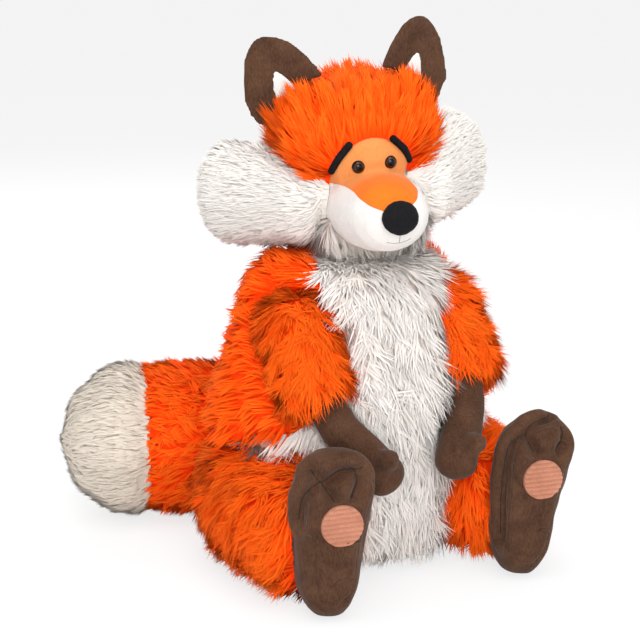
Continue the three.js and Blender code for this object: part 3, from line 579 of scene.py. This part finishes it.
# Strands in locks: the strands of a lock start apart and draw together towards its tip
def grownPile(skin, look, blockers):
    random = np.random.default_rng(look["seed"])
    roots, normals = scattered(skin, look["count"], random)
    lockCount = max(1, look["count"] // look["perLock"])
    lock = nearestOf(roots[:lockCount], roots)
    lockStray = random.normal(0, look["stray"], lockCount)
    lockLift = look["lift"] + random.normal(0, lockLook["liftStray"], lockCount)
    lockLength = random.uniform(*lockLook["lengths"], lockCount)
    lockShade = random.normal(0, 1, lockCount)
    comb = combed(roots, normals, look)
    comb = comb[lock] + comb
    comb = unit(comb - normals * (comb * normals).sum(axis=1, keepdims=True))
    count = len(roots)
    stray = np.radians(lockStray[lock] + random.normal(0, look["stray"] * strand["combStray"], count))
    comb = turned(comb, normals, stray)
    lift = lockLift[lock] + random.normal(0, strand["liftStray"], count)
    lift = np.radians(np.clip(lift, strand["lowest"], strand["steepest"]))
    length = look["length"] * mm * lockLength[lock] * random.uniform(*strand["lengths"], count)
    start = normals * np.sin(lift)[:, None] + comb * np.cos(lift)[:, None]
    droop = np.array((0, 0, -1.0)) * look["droop"]
    pull = (roots[lock] - roots) * look["pull"]
    wave = unit(np.cross(normals, comb))
    phase = random.uniform(0, 2 * math.pi, count)

    def curve(t):
        t = np.asarray(t)[None, :, None]
        size = length[:, None, None]
        bend = (comb[:, None] * strand["bend"] + droop - normals[:, None] * look["lay"]) * size * t ** 2
        sway = wave[:, None] * np.sin(phase[:, None, None] + strand["waves"] * t) * size * strand["sway"] * t
        straight = roots[:, None] + start[:, None] * size * t
        return straight + bend + pull[:, None] * t ** strand["gather"] + sway

    keep = np.ones(count, bool)
    if blockers:
        ends = curve([strand["clearFrom"], 1.0])
        for i in range(count):
            path = Vector(ends[i, 1] - ends[i, 0])
            hit = blockers.ray_cast(Vector(ends[i, 0]), path.normalized(), path.length)
            if hit[0] is not None:
                room = hit[3] / path.length
                keep[i] = room > strand["least"]
                length[i] *= max(room - strand["gap"], strand["shortest"])
    points = curve(lockAlong)
    aim = unit(curve([1.0])[:, 0] - roots)
    across = unit(np.cross(aim, normals))
    other = np.cross(aim, across)
    width = look["width"] * mm * random.uniform(*strand["widths"], count)[:, None]
    width = width * (1 - lockAlong ** strand["taper"])[None, :]
    points = points + across[:, None] * (width * np.cos(lockAngle))[:, :, None]
    points = points + other[:, None] * (width * strand["flat"] * np.sin(lockAngle))[:, :, None]
    points[:, :, 2] = np.maximum(points[:, :, 2], surfaceGap)
    bend = random.normal(0, look["relief"], (lockCount, 3))[lock]
    bend = bend + random.normal(0, look["relief"] * strand["reliefStray"], (count, 3))
    shading = unit(normals + bend + strand["litAlong"] * start)
    shade = lockLook["shade"] + lockLook["shadeStray"] * lockShade[lock]
    shade = np.clip(shade + random.normal(0, strand["shadeStray"], count), *strand["shades"])
    points, shade, shading = points[keep], shade[keep], shading[keep]
    faces = lockFaces[None] + np.arange(len(points))[:, None, None] * len(lockAlong)
    u = shade[:, None] + strand["mapSpread"] * (np.arange(len(lockAlong)) % strand["sides"])[None, :]
    v = np.tile(strand["mapRoot"] + strand["mapRun"] * lockAlong, (len(points), 1))
    uvs = np.stack([u, v], axis=2)
    shading = np.repeat(shading, len(lockAlong), axis=0)
    return points.reshape(-1, 3), faces.reshape(-1, 3), uvs.reshape(-1, 2), shading


# Fills a skin out between its seams, or only where it faces along a direction of the look's frame
def swollen(skin, look):
    if "swell" not in look:
        return skin
    skin = skin.copy()
    skin.normal_update()
    tree = kdTreeOf([vert.co.copy() for vert in skin.verts if vert.is_boundary])
    aim = look.get("frame", Matrix.Identity(4)).to_3x3() @ Vector(look.get("swellAlong", (0, 0, 0)))
    for vert in skin.verts:
        share = min(1, tree.find(vert.co)[2] / (look["swellOver"] * mm))
        if "swellAlong" in look:
            share *= vert.normal.dot(aim) ** 2
        vert.co += vert.normal * look["swell"] * mm * math.sin(share * math.pi / 2)
    skin.normal_update()
    return skin


# The cloth under the pile, and where its faces lie on the map: near the root, so it takes the root colour
# with its painted shade
backing = {"wall": 2, "shades": (0.02, 0.6), "across": (0, 0.01, 0), "along": (0.02, 0.03, 0.06),
           "seedStep": 1000}


# A skin with its pile. The strands take the light as the skin under them does.
def furPiece(name, skin, look, blockers=None):
    skin = swollen(skin, look)
    points, faces, uvs, shading = grownPile(skin, look, blockers)
    cloth = walled(skin, backing["wall"])
    bmesh.ops.triangulate(cloth, faces=cloth.faces)
    cloth.verts.index_update()
    cloth.normal_update()
    backPoints = np.array([vert.co for vert in cloth.verts])
    backPoints[:, 2] = np.maximum(backPoints[:, 2], surfaceGap)
    backNormals = np.array([vert.normal for vert in cloth.verts])
    backFaces = np.array([[vert.index for vert in face.verts] for face in cloth.faces])
    cloth.free()
    random = np.random.default_rng(look["seed"] + backing["seedStep"])
    shade = random.uniform(*backing["shades"], len(backFaces))
    across = shade[:, None] + np.array(backing["across"])
    along = np.tile(backing["along"], (len(backFaces), 1))
    backUvs = np.stack([across, along], axis=2)
    allPoints = np.concatenate([points, backPoints])
    allFaces = np.concatenate([faces, backFaces + len(points)])
    loopUvs = np.concatenate([uvs[faces].reshape(-1, 2), backUvs.reshape(-1, 2)])
    mesh = bpy.data.meshes.new(name)
    mesh.vertices.add(len(allPoints))
    mesh.vertices.foreach_set("co", allPoints.ravel())
    mesh.loops.add(len(allFaces) * 3)
    mesh.loops.foreach_set("vertex_index", allFaces.ravel())
    mesh.polygons.add(len(allFaces))
    mesh.polygons.foreach_set("loop_start", np.arange(0, len(allFaces) * 3, 3))
    layer = mesh.uv_layers.new(name="OFBake")
    layer.data.foreach_set("uv", loopUvs.ravel())
    mesh.update(calc_edges=True)
    mesh.shade_smooth()
    mesh.normals_split_custom_set_from_vertices(np.concatenate([shading, backNormals]))
    print(name, len(allFaces), "triangles")
    return placed(name, mesh)


# The furs: length and width are a strand's, in millimetres. Lift and stray are degrees, up from the
# skin and off the comb. Pull draws a lock together, droop lets it hang, and lay bends it to the skin.
furLook = {
    "torsoFur": dict(count=15500, length=14, lift=28, stray=18, perLock=14, pull=0.5, droop=0.04, lay=0.10,
                     width=0.96, relief=0.1, towards=(0, 0.4, -0.5), away=(((0, -120, 130), 0.6),),
                     swell=5, swellOver=16, seed=11),
    "bellyFur": dict(count=16500, length=20, lift=32, stray=30, perLock=12, pull=0.5, droop=0.15, lay=0.08,
                     width=1.15, relief=0.08, towards=(0, 0, -1.0), away=(((0, 0, 330), 0.9),), seed=12),
    "sleeveFur": dict(count=10500, length=18, lift=42, stray=34, perLock=14, pull=0.55, droop=0.12, lay=0.05,
                      width=0.86, relief=0.12, towards=(0.2, -0.25, -0.6), seed=13),
    "thighFur": dict(count=13000, length=18, lift=42, stray=32, perLock=14, pull=0.55, droop=0.08, lay=0.05,
                     width=0.96, relief=0.12, towards=(0.45, 0.05, -0.4), seed=14),
    "tailBaseFur": dict(count=12000, length=11, lift=42, stray=28, perLock=14, pull=0.5, droop=0.03, lay=0.05,
                        width=0.96, relief=0.1, towards=(-0.9, 0.35, 0), swell=3, swellOver=12, seed=15),
    "tailTipFur": dict(count=15500, length=10, lift=38, stray=9, perLock=6, pull=0.1, droop=0.02, lay=0.2,
                       width=1.10, relief=0.03, towards=(-0.9, 0.35, 0), swell=4, swellOver=14, seed=16),
    "crownFur": dict(count=16500, length=17, lift=32, stray=14, perLock=14, pull=0.55, droop=0, lay=0.06,
                     width=0.91, relief=0.1, towards=(0, 0.15, 0.7), away=(((0, -60, -40), 0.8),),
                     swell=12, swellOver=20, swellAlong=(1, 0, 0), frame=headFrame, seed=17),
    "throatFur": dict(count=4500, length=16, lift=40, stray=22, perLock=12, pull=0.4, droop=0.1, lay=0.05,
                      width=0.96, relief=0.06, towards=(0, 0, -1.0), swell=5, swellOver=10,
                      frame=headFrame, seed=19),
    "cheekFur": dict(count=15500, length=10, lift=38, stray=8, perLock=6, pull=0.1, droop=0.01, lay=0.2,
                     width=1.10, relief=0.03, towards=(0.8, 0.75, 0.1), swell=9, swellOver=16,
                     frame=headFrame, seed=18),
}


mirroredSeed = 50  # the right side's strands have a seed so much higher


# A look for one side: what points to the fox's left is mirrored for its right
def forSide(look, side):
    out = sides[side]
    x, y, z = look["towards"]
    away = tuple(((px * out, py, pz), share) for (px, py, pz), share in look.get("away", ()))
    return {**look, "towards": (x * out, y, z), "away": away, "seed": look["seed"] + (out < 0) * mirroredSeed}


setCamera()
setLights()
setFloor()
print("camera, lights and floor are set")

# Eyes: glossy domes, a black pupil in a brown ring. The colours run out to the edge.
eyes = {"spread": 12.3, "forward": 45, "drop": 1, "radius": 5, "dome": 4.4, "stem": 1.6, "stemLength": 11,
        "pupil": 2.6, "ring": 4.1, "edge": 6, "pupilBlur": 0.06, "ringBlur": 0.08,
        "black": (0.002, 0.0015, 0.0015), "brown": (0.045, 0.014, 0.005), "roughness": 0.06, "shine": 0.25,
        "around": 32, "rings": 20, "stemSides": 16, "back": 0.05}


def eyeMaterial():
    material, tree, shader = newMaterial("glossy eye")
    place = tree.nodes.new("ShaderNodeTexCoord")
    gaps = []
    for side in sides:
        gap = tree.nodes.new("ShaderNodeVectorMath")
        gap.operation = "DISTANCE"
        front = Vector((eyes["spread"] * sides[side], -eyes["forward"] - eyes["dome"], -eyes["drop"])) * mm
        gap.inputs[1].default_value = headFrame @ front
        tree.links.new(place.outputs["Object"], gap.inputs[0])
        gaps.append(gap)
    nearer = tree.nodes.new("ShaderNodeMath")
    nearer.operation = "MINIMUM"
    for i, gap in enumerate(gaps):
        tree.links.new(gap.outputs["Value"], nearer.inputs[i])
    rings = tree.nodes.new("ShaderNodeMapRange")
    rings.inputs["From Max"].default_value = eyes["edge"] * mm
    black, brown = eyes["black"], eyes["brown"]
    pupil, ring = eyes["pupil"] / eyes["edge"], eyes["ring"] / eyes["edge"]
    colors = ramp(tree, ((0, black), (pupil, black), (pupil + eyes["pupilBlur"], brown), (ring, brown),
                         (ring + eyes["ringBlur"], black)))
    tree.links.new(nearer.outputs[0], rings.inputs["Value"])
    tree.links.new(rings.outputs["Result"], colors.inputs["Fac"])
    tree.links.new(colors.outputs["Color"], shader.inputs["Base Color"])
    shader.inputs["Roughness"].default_value = eyes["roughness"]
    shader.inputs["Specular IOR Level"].default_value = eyes["shine"]
    return material


def eyePiece(side):
    bm = bmesh.new()
    bmesh.ops.create_uvsphere(bm, u_segments=eyes["around"], v_segments=eyes["rings"], radius=1)
    bmesh.ops.scale(bm, vec=(eyes["radius"], eyes["dome"], eyes["radius"]), verts=bm.verts)
    cut = bmesh.ops.bisect_plane(bm, geom=bm.verts[:] + bm.edges[:] + bm.faces[:],
                                 plane_co=(0, eyes["back"], 0), plane_no=(0, 1, 0), clear_outer=True)
    rim = [part for part in cut["geom_cut"] if isinstance(part, bmesh.types.BMEdge)]
    bmesh.ops.holes_fill(bm, edges=rim)
    stem = Matrix.Translation((0, eyes["stemLength"] / 2, 0)) @ Matrix.Rotation(math.pi / 2, 4, "X")
    bmesh.ops.create_cone(bm, cap_ends=True, segments=eyes["stemSides"], radius1=eyes["stem"],
                          radius2=eyes["stem"], depth=eyes["stemLength"], matrix=stem)
    middle = Matrix.Translation((eyes["spread"] * sides[side], -eyes["forward"], -eyes["drop"]))
    bmesh.ops.transform(bm, matrix=headFrame @ Matrix.Scale(mm, 4) @ middle, verts=bm.verts)
    return newObject(f"eyeDome_{side}", bm)


# Lines sewn into a surface, and the threads in them
def smoothLine(points, steps=8):
    ends = [points[0] * 2 - points[1], *points, points[-1] * 2 - points[-2]]
    line = []
    for a, b, c, d in zip(ends, ends[1:], ends[2:], ends[3:]):
        for step in range(steps):
            t = step / steps
            line.append((2 * b + (c - a) * t + (2 * a - 5 * b + 4 * c - d) * t ** 2
                         + (3 * b - a - 3 * c + d) * t ** 3) / 2)
    return [*line, points[-1]]


rayStart = 80 * mm  # how far in front of a surface a line starts before it is laid on it


# Points laid on a surface, in the direction that they are seen from
def laidOn(bm, line, aim, sink=0.0):
    tree = BVHTree.FromBMesh(bm)
    aim = aim.normalized()
    hits = [tree.ray_cast(point - aim * rayStart, aim)[0] for point in line]
    return [hit + aim * sink * mm for hit in hits if hit is not None]


# Draws a surface in along lines, and lets it swell beside them
def creased(bm, lines, look):
    tree = kdTreeOf([place for line in lines for place in line])
    bm.normal_update()
    moves = []
    for vert in bm.verts:
        gap = tree.find(vert.co)[2] / mm
        inward = look["depth"] * math.exp(-(gap / look["width"]) ** 2)
        outward = look["puff"] * math.exp(-((gap - look["puffAt"]) / look["puffWidth"]) ** 2)
        moves.append(vert.normal * (outward - inward) * mm)
    for vert, move in zip(bm.verts, moves):
        vert.co += move
    bm.normal_update()


def threadPiece(name, lines, radius):
    curve = bpy.data.curves.new(name, "CURVE")
    curve.dimensions = "3D"
    curve.bevel_depth = radius * mm
    curve.bevel_resolution = 1
    curve.use_fill_caps = True
    for line in lines:
        spline = curve.splines.new("POLY")
        spline.points.add(len(line) - 1)
        for point, place in zip(spline.points, line):
            point.co = (*place, 1)
    mesh = applied(placed(name, curve))
    mesh.shade_smooth()
    return placed(name, mesh)


clothQuality = 5  # steps of the simulation in each frame


# A padded form, filled like a bag: cloth that swells under pressure, no point by more than the cap
def puffed(bm, look):
    start = [vert.co.copy() for vert in bm.verts]
    bag = newObject("bag", bm)
    cloth = bag.modifiers.new("cloth", "CLOTH")
    cloth.settings.quality = clothQuality
    cloth.settings.use_pressure = True
    cloth.settings.uniform_pressure_force = look["pressure"]
    cloth.settings.effector_weights.gravity = 0
    cloth.point_cache.frame_end = look["frames"]
    for number in range(1, look["frames"] + 1):
        scene.frame_set(number)
    mesh = applied(bag)
    scene.frame_set(1)
    cap = look["cap"] * mm
    for vert, place in zip(mesh.vertices, start):
        move = vert.co - place
        vert.co = place + move * min(1, cap / max(move.length, cap / 100))
    filled = placed("bag", mesh)
    finer = filled.modifiers.new("finer", "SUBSURF")
    finer.levels = 1
    finer.render_levels = 1
    result = bmeshOf(applied(filled))
    result.normal_update()
    return result


def rested(bm):
    for vert in bm.verts:
        vert.co.z = max(vert.co.z, surfaceGap)


# Small unevenness of stuffed short plush
def lumped(bm, look):
    bm.normal_update()
    for vert in bm.verts:
        vert.co += vert.normal * noise.noise(vert.co / (look["lumps"] * mm)) * look["lumpDepth"] * mm
    bm.normal_update()


# Forearms and paws, in short brown plush
arm = {"voxel": 3.4, "smooth": 4, "grow": -0.8, "pressure": 4, "frames": 20, "cap": 2.0,
       "lumps": 14, "lumpDepth": 0.7, "overSleeve": 2, "wall": 2, "fill": 0.8}
for side in sides:
    armForm = puffed(softened([f"forearm_paw_{side}", f"arm_stuffing_{side}"], arm), arm)
    lumped(armForm, arm)
    groups = {"forearm": [f"forearm_paw_{side}"], "sleeve": [f"sleeve_fur_{side}"]}
    forearm = regions(armForm, groups, favour={"forearm": arm["overSleeve"]})["forearm"]
    finished(newObject(f"forearmPaw_{side}", walled(forearm, arm["wall"])),
             f"arm_{side}", brownPlush, [f"forearm_paw_{side}"])
print("forearms are filled")

# Feet, in short brown plush: toes drawn in by threads, and a corduroy pad on each sole
foot = {"voxel": 3.4, "smooth": 4, "grow": -1.0, "pressure": 4, "frames": 20, "cap": 2.4,
        "lumps": 16, "lumpDepth": 0.8, "overSole": 1, "seam": 0.3, "wall": 2, "fill": 0.8,
        "height": 133, "halfWidth": 31, "front": -30, "thread": 0.65, "threadSink": 0.4,
        "toes": {"depth": 5.5, "width": 3.4, "puff": 3.4, "puffAt": 9, "puffWidth": 5.5}}
# Shares of the half width and of the height
toeLines = {
    "left": [
        [(0.5, 0.96), (0.08, 0.955), (-0.26, 0.935), (-0.42, 0.89), (-0.72, 0.84), (-0.82, 0.76),
         (-0.8, 0.62), (-0.74, 0.45), (-0.66, 0.28)],
        [(-0.4, 0.885), (-0.26, 0.82), (-0.12, 0.775)],
        [(0.5, 0.955), (0.6, 0.87), (0.46, 0.785)],
    ],
    "right": [
        [(-0.6, 0.88), (-0.37, 0.81), (-0.13, 0.84), (0.15, 0.87), (0.64, 0.87)],
        [(-0.37, 0.81), (-0.64, 0.77), (-0.8, 0.71), (-0.83, 0.6)],
        [(-0.37, 0.81), (-0.21, 0.755), (-0.05, 0.7)],
        [(0.41, 0.87), (0.49, 0.8), (0.36, 0.71)],
    ],
}
pad = {"radius": 15.5, "thickness": 2, "edge": 0.3, "rib": 3.5, "ribDepth": 0.55, "cuts": 6, "tilt": 3,
       "segments": 72, "border": 5, "front": -15, "fill": 0.2}


def padPiece(side, seat):
    bm = bmesh.new()
    bmesh.ops.create_cone(bm, cap_ends=True, segments=pad["segments"], radius1=pad["radius"],
                          radius2=pad["radius"] - pad["edge"], depth=pad["thickness"])
    steps = int(pad["radius"] / pad["rib"] * pad["cuts"])
    for step in range(-steps, steps + 1):
        bmesh.ops.bisect_plane(bm, geom=bm.verts[:] + bm.edges[:] + bm.faces[:], plane_no=(0, 1, 0),
                               plane_co=(0, step * pad["rib"] / pad["cuts"], 0))
    for vert in bm.verts:
        if vert.co.z > 0:
            vert.co.z += pad["ribDepth"] * math.cos(2 * math.pi * vert.co.y / pad["rib"])
    upright = Matrix.Rotation(math.pi / 2, 4, "X") @ Matrix.Rotation(math.radians(pad["tilt"]), 4, "Z")
    place = seat @ Matrix.Scale(mm, 4) @ Matrix.Translation((0, -pad["thickness"] / 2, 0)) @ upright
    bmesh.ops.transform(bm, matrix=place, verts=bm.verts)
    obj = newObject(f"cordPad_{side}", bm)
    obj.data.shade_flat()
    return obj


# Flattens the sole where the pad is sewn on
def seatFor(bm, side):
    into = feet[side]["frame"].inverted()
    low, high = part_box(f"paw_pad_{side}")
    middle = into @ ((low + high) / 2)
    near = []
    for vert in bm.verts:
        local = into @ vert.co
        gap = math.hypot(local.x - middle.x, local.z - middle.z) / mm
        if local.y < pad["front"] * mm and gap < pad["radius"] + pad["border"]:
            near.append((vert, local, gap))
    face = sum(local.y for vert, local, gap in near) / len(near)
    for vert, local, gap in near:
        share = min(1, (pad["radius"] + pad["border"] - gap) / pad["border"])
        local.y += (face - local.y) * share
        vert.co = feet[side]["frame"] @ local
    return feet[side]["frame"] @ Matrix.Translation((middle.x, face, middle.z))


for side in sides:
    nodes = [f"foot_upper_{side}", f"foot_sole_{side}", f"leg_stuffing_{side}"]
    footForm = puffed(softened(nodes, foot), foot)
    lumped(footForm, foot)
    into = feet[side]["frame"]
    aim = (into.to_3x3() @ Vector((0, 1, 0))).normalized()
    lines = []
    for line in toeLines[side]:
        marks = [into @ (Vector((foot["halfWidth"] * wide + feet[side]["lean"] * high, foot["front"],
                                 foot["height"] * high)) * mm) for wide, high in line]
        lines.append(laidOn(footForm, smoothLine(marks), aim))
    creased(footForm, lines, foot["toes"])
    seat = seatFor(footForm, side)
    rested(footForm)
    groups = {"upper": [f"foot_upper_{side}"], "sole": [f"foot_sole_{side}"], "thigh": [f"thigh_fur_{side}"]}
    parts = regions(footForm, groups, seam=foot["seam"], favour={"upper": foot["overSole"]})
    for part in ("upper", "sole"):
        obj = newObject(f"foot{part.title()}_{side}", walled(parts[part], foot["wall"]))
        finished(obj, f"leg_{side}", brownPlush, [f"foot_{part}_{side}"])
    finished(padPiece(side, seat), f"leg_{side}", padPink, [f"paw_pad_{side}"])
    threads = [laidOn(footForm, line, aim, foot["threadSink"]) for line in lines]
    finished(threadPiece(f"toeThread_{side}", threads, foot["thread"]),
             f"leg_{side}", darkThread, [f"toe_stitches_{side}"])
print("feet are sewn")

# Torso
torso = {"voxel": 4, "smooth": 10, "grow": 2.5, "fill": 0.7}
torsoSkins = regions(softened(["torso_stuffing"], torso),
                     {"back": ["torso_back_fur"], "belly": ["belly_panel_fur"]})
pawTree = treeOf([f"{part}_{side}" for part in ("forearm_paw", "foot_upper", "foot_sole") for side in sides])
finished(furPiece("torsoFur", torsoSkins["back"], furLook["torsoFur"], pawTree),
         "torso", orangeFur, ["torso_back_fur"])
finished(furPiece("bellyFur", torsoSkins["belly"], furLook["bellyFur"], pawTree),
         "torso", whiteFur, ["belly_panel_fur"])

# Sleeves and thighs
sleeve = {"voxel": 3, "smooth": 6, "grow": 2, "fill": 0.7}
thigh = {"voxel": 4, "smooth": 8, "grow": 2.5, "fill": 0.7}
for side in sides:
    paw = [f"forearm_paw_{side}"]
    armForm = softened([f"arm_stuffing_{side}"], sleeve)
    skin = regions(armForm, {"sleeve": [f"sleeve_fur_{side}"], "forearm": paw})["sleeve"]
    look = forSide(furLook["sleeveFur"], side)
    finished(furPiece(f"sleeveFur_{side}", skin, look, treeOf(paw)),
             f"arm_{side}", orangeFur, [f"sleeve_fur_{side}"])
    footSkins = [f"foot_upper_{side}", f"foot_sole_{side}"]
    legForm = softened([f"leg_stuffing_{side}"], thigh)
    skin = regions(legForm, {"thigh": [f"thigh_fur_{side}"], "foot": footSkins})["thigh"]
    look = forSide(furLook["thighFur"], side)
    finished(furPiece(f"thighFur_{side}", skin, look, treeOf(footSkins)),
             f"leg_{side}", orangeFur, [f"thigh_fur_{side}"])

# Tail
tail = {"voxel": 4, "smooth": 10, "grow": 6.5, "fill": 0.7}
tailSkins = regions(softened(["tail_stuffing"], tail), {"base": ["tail_base_fur"], "tip": ["tail_tip_fur"]})
finished(furPiece("tailBaseFur", tailSkins["base"], furLook["tailBaseFur"]),
         "tail", orangeFur, ["tail_base_fur"])
finished(furPiece("tailTipFur", tailSkins["tip"], furLook["tailTipFur"]),
         "tail", creamFur, ["tail_tip_fur"])

# Head: one form, whose fur skins and short plush meet edge to edge
head = {"voxel": 2.3, "smooth": 10, "grow": 1, "wall": 2, "furOverFace": 2.5, "fill": 0.8,
        "seamStart": 37, "seamEnd": 94, "seamDrop": 14, "seamDip": 12, "seamCurve": 2.6,
        "front": -90, "mouthTop": -45, "mouthLow": -52, "mouthHalfWidth": 9, "mouthRise": 2, "thread": 0.28}
headForm = softened(["face_panel", "muzzle_panel", "head_stuffing"], head)
headGroups = {"crown": ["head_crown_fur"], "throat": ["throat_fur"], "left": ["cheek_fur_left"],
              "right": ["cheek_fur_right"], "face": ["face_panel", "muzzle_panel"]}
headParts = regions(headForm, headGroups, favour={"face": -head["furOverFace"]})
facePieces = treeOf(["face_panel", "muzzle_panel", "ear_back_left", "ear_back_right", "nose",
                     "brow_left", "brow_right"])
finished(furPiece("crownFur", headParts["crown"], furLook["crownFur"], facePieces),
         "head", orangeFur, ["head_crown_fur"])
finished(furPiece("throatFur", headParts["throat"], furLook["throatFur"], facePieces),
         "head", whiteFur, ["throat_fur"])
for side in sides:
    look = forSide(furLook["cheekFur"], side)
    finished(furPiece(f"cheekFur_{side}", headParts[side], look, facePieces),
             "head", cheekWhite, [f"cheek_fur_{side}"])
print("fur is grown")


# Face, in short plush: pale orange above a seam and white below it. The seam dips towards the nose.
def seamHeight(forward):
    along = max(0, (forward - head["seamStart"]) / (head["seamEnd"] - head["seamStart"]))
    return -head["seamDrop"] - head["seamDip"] * along ** head["seamCurve"]


def levelled(bm, sign):
    for vert in bm.verts:
        local = headFrame.inverted() @ vert.co
        local.z += sign * seamHeight(-local.y / mm) * mm
        vert.co = headFrame @ local


for name, slot, material, node, above in (("facePanel", "pale_orange_plush", faceOrange, "face_panel", True),
                                          ("muzzlePanel", "white_plush", faceWhite, "muzzle_panel", False)):
    part = headParts["face"].copy()
    upwards = headFrame.to_3x3() @ Vector((0, 0, 1))
    levelled(part, -1)
    bmesh.ops.bisect_plane(part, geom=part.verts[:] + part.edges[:] + part.faces[:], plane_no=upwards,
                           plane_co=headFrame.translation, clear_inner=above, clear_outer=not above)
    levelled(part, 1)
    keepLargest(part)
    part.normal_update()
    finished(newObject(name, walled(part, head["wall"])), "head", material, [node])

# Ears, brows and nose
ear = {"voxel": 1.5, "smooth": 6, "grow": 0.3, "lumps": 18, "lumpDepth": 0.6, "fill": 0.5}
lining = {"voxel": 0.8, "smooth": 4, "grow": 0.2, "fill": 0.3}
brow = {"voxel": 0.8, "smooth": 6, "grow": 0.2, "fill": 0.9}
nose = {"voxel": 1, "smooth": 10, "grow": 0.4, "lumps": 9, "lumpDepth": 0.4, "fill": 1.0}
for side in sides:
    earForm = softened([f"ear_back_{side}"], ear)
    lumped(earForm, ear)
    finished(newObject(f"earBack_{side}", earForm),
             "head", brownPlush, [f"ear_back_{side}"])
    finished(newObject(f"earLining_{side}", softened([f"ear_lining_{side}"], lining)),
             "head", faceWhite, [f"ear_lining_{side}"])
    finished(newObject(f"browStrip_{side}", softened([f"brow_{side}"], brow)),
             "head", blackPlush, [f"brow_{side}"])
noseForm = softened(["nose"], nose)
lumped(noseForm, nose)
finished(newObject("noseFleece", noseForm), "head", blackPlush, ["nose"])

glossyEye = eyeMaterial()
for side in sides:
    finished(eyePiece(side), "head", glossyEye, [f"eye_{side}"])

# Mouth: an upright stitch and a faint curved one, laid on the muzzle
ahead = (headFrame.to_3x3() @ Vector((0, 1, 0))).normalized()
upright = [(0, head["mouthTop"]), (0, (head["mouthTop"] + head["mouthLow"]) / 2), (0, head["mouthLow"])]
curved = [(share * head["mouthHalfWidth"], head["mouthLow"] + head["mouthRise"] * share ** 2)
          for share in (-1, -0.5, 0, 0.5, 1)]
lines = []
for line in (upright, curved):
    marks = [headFrame @ (Vector((x, head["front"], z)) * mm) for x, z in line]
    lines.append(laidOn(headForm, smoothLine(marks), ahead))
finished(threadPiece("mouthThread", lines, head["thread"]),
         "head", mouthThread, ["mouth_stitches"])

# What lies inside: fillings, drawn back from their skins, and what the cloth hides
filling = {"voxel": 5, "smooth": 6, "grow": -3.5, "fill": 0.7}
legFilling = {**filling, "grow": -7}
fillings = {"torso_stuffing": "torso", "tail_stuffing": "tail", "head_stuffing": "head",
            **{f"{part}_stuffing_{side}": f"{part}_{side}" for part in ("arm", "leg") for side in sides}}
for node, body in fillings.items():
    core = softened([node], legFilling if "leg" in node else filling)
    rested(core)
    finished(newObject(f"{node}_fibre", core), body, fibre, [node])
for name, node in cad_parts.items():
    for word, material in (("washer", washerPlastic), ("pellet", pelletCloth)):
        if word in name:
            node.data.materials.clear()
            node.data.materials.append(material)
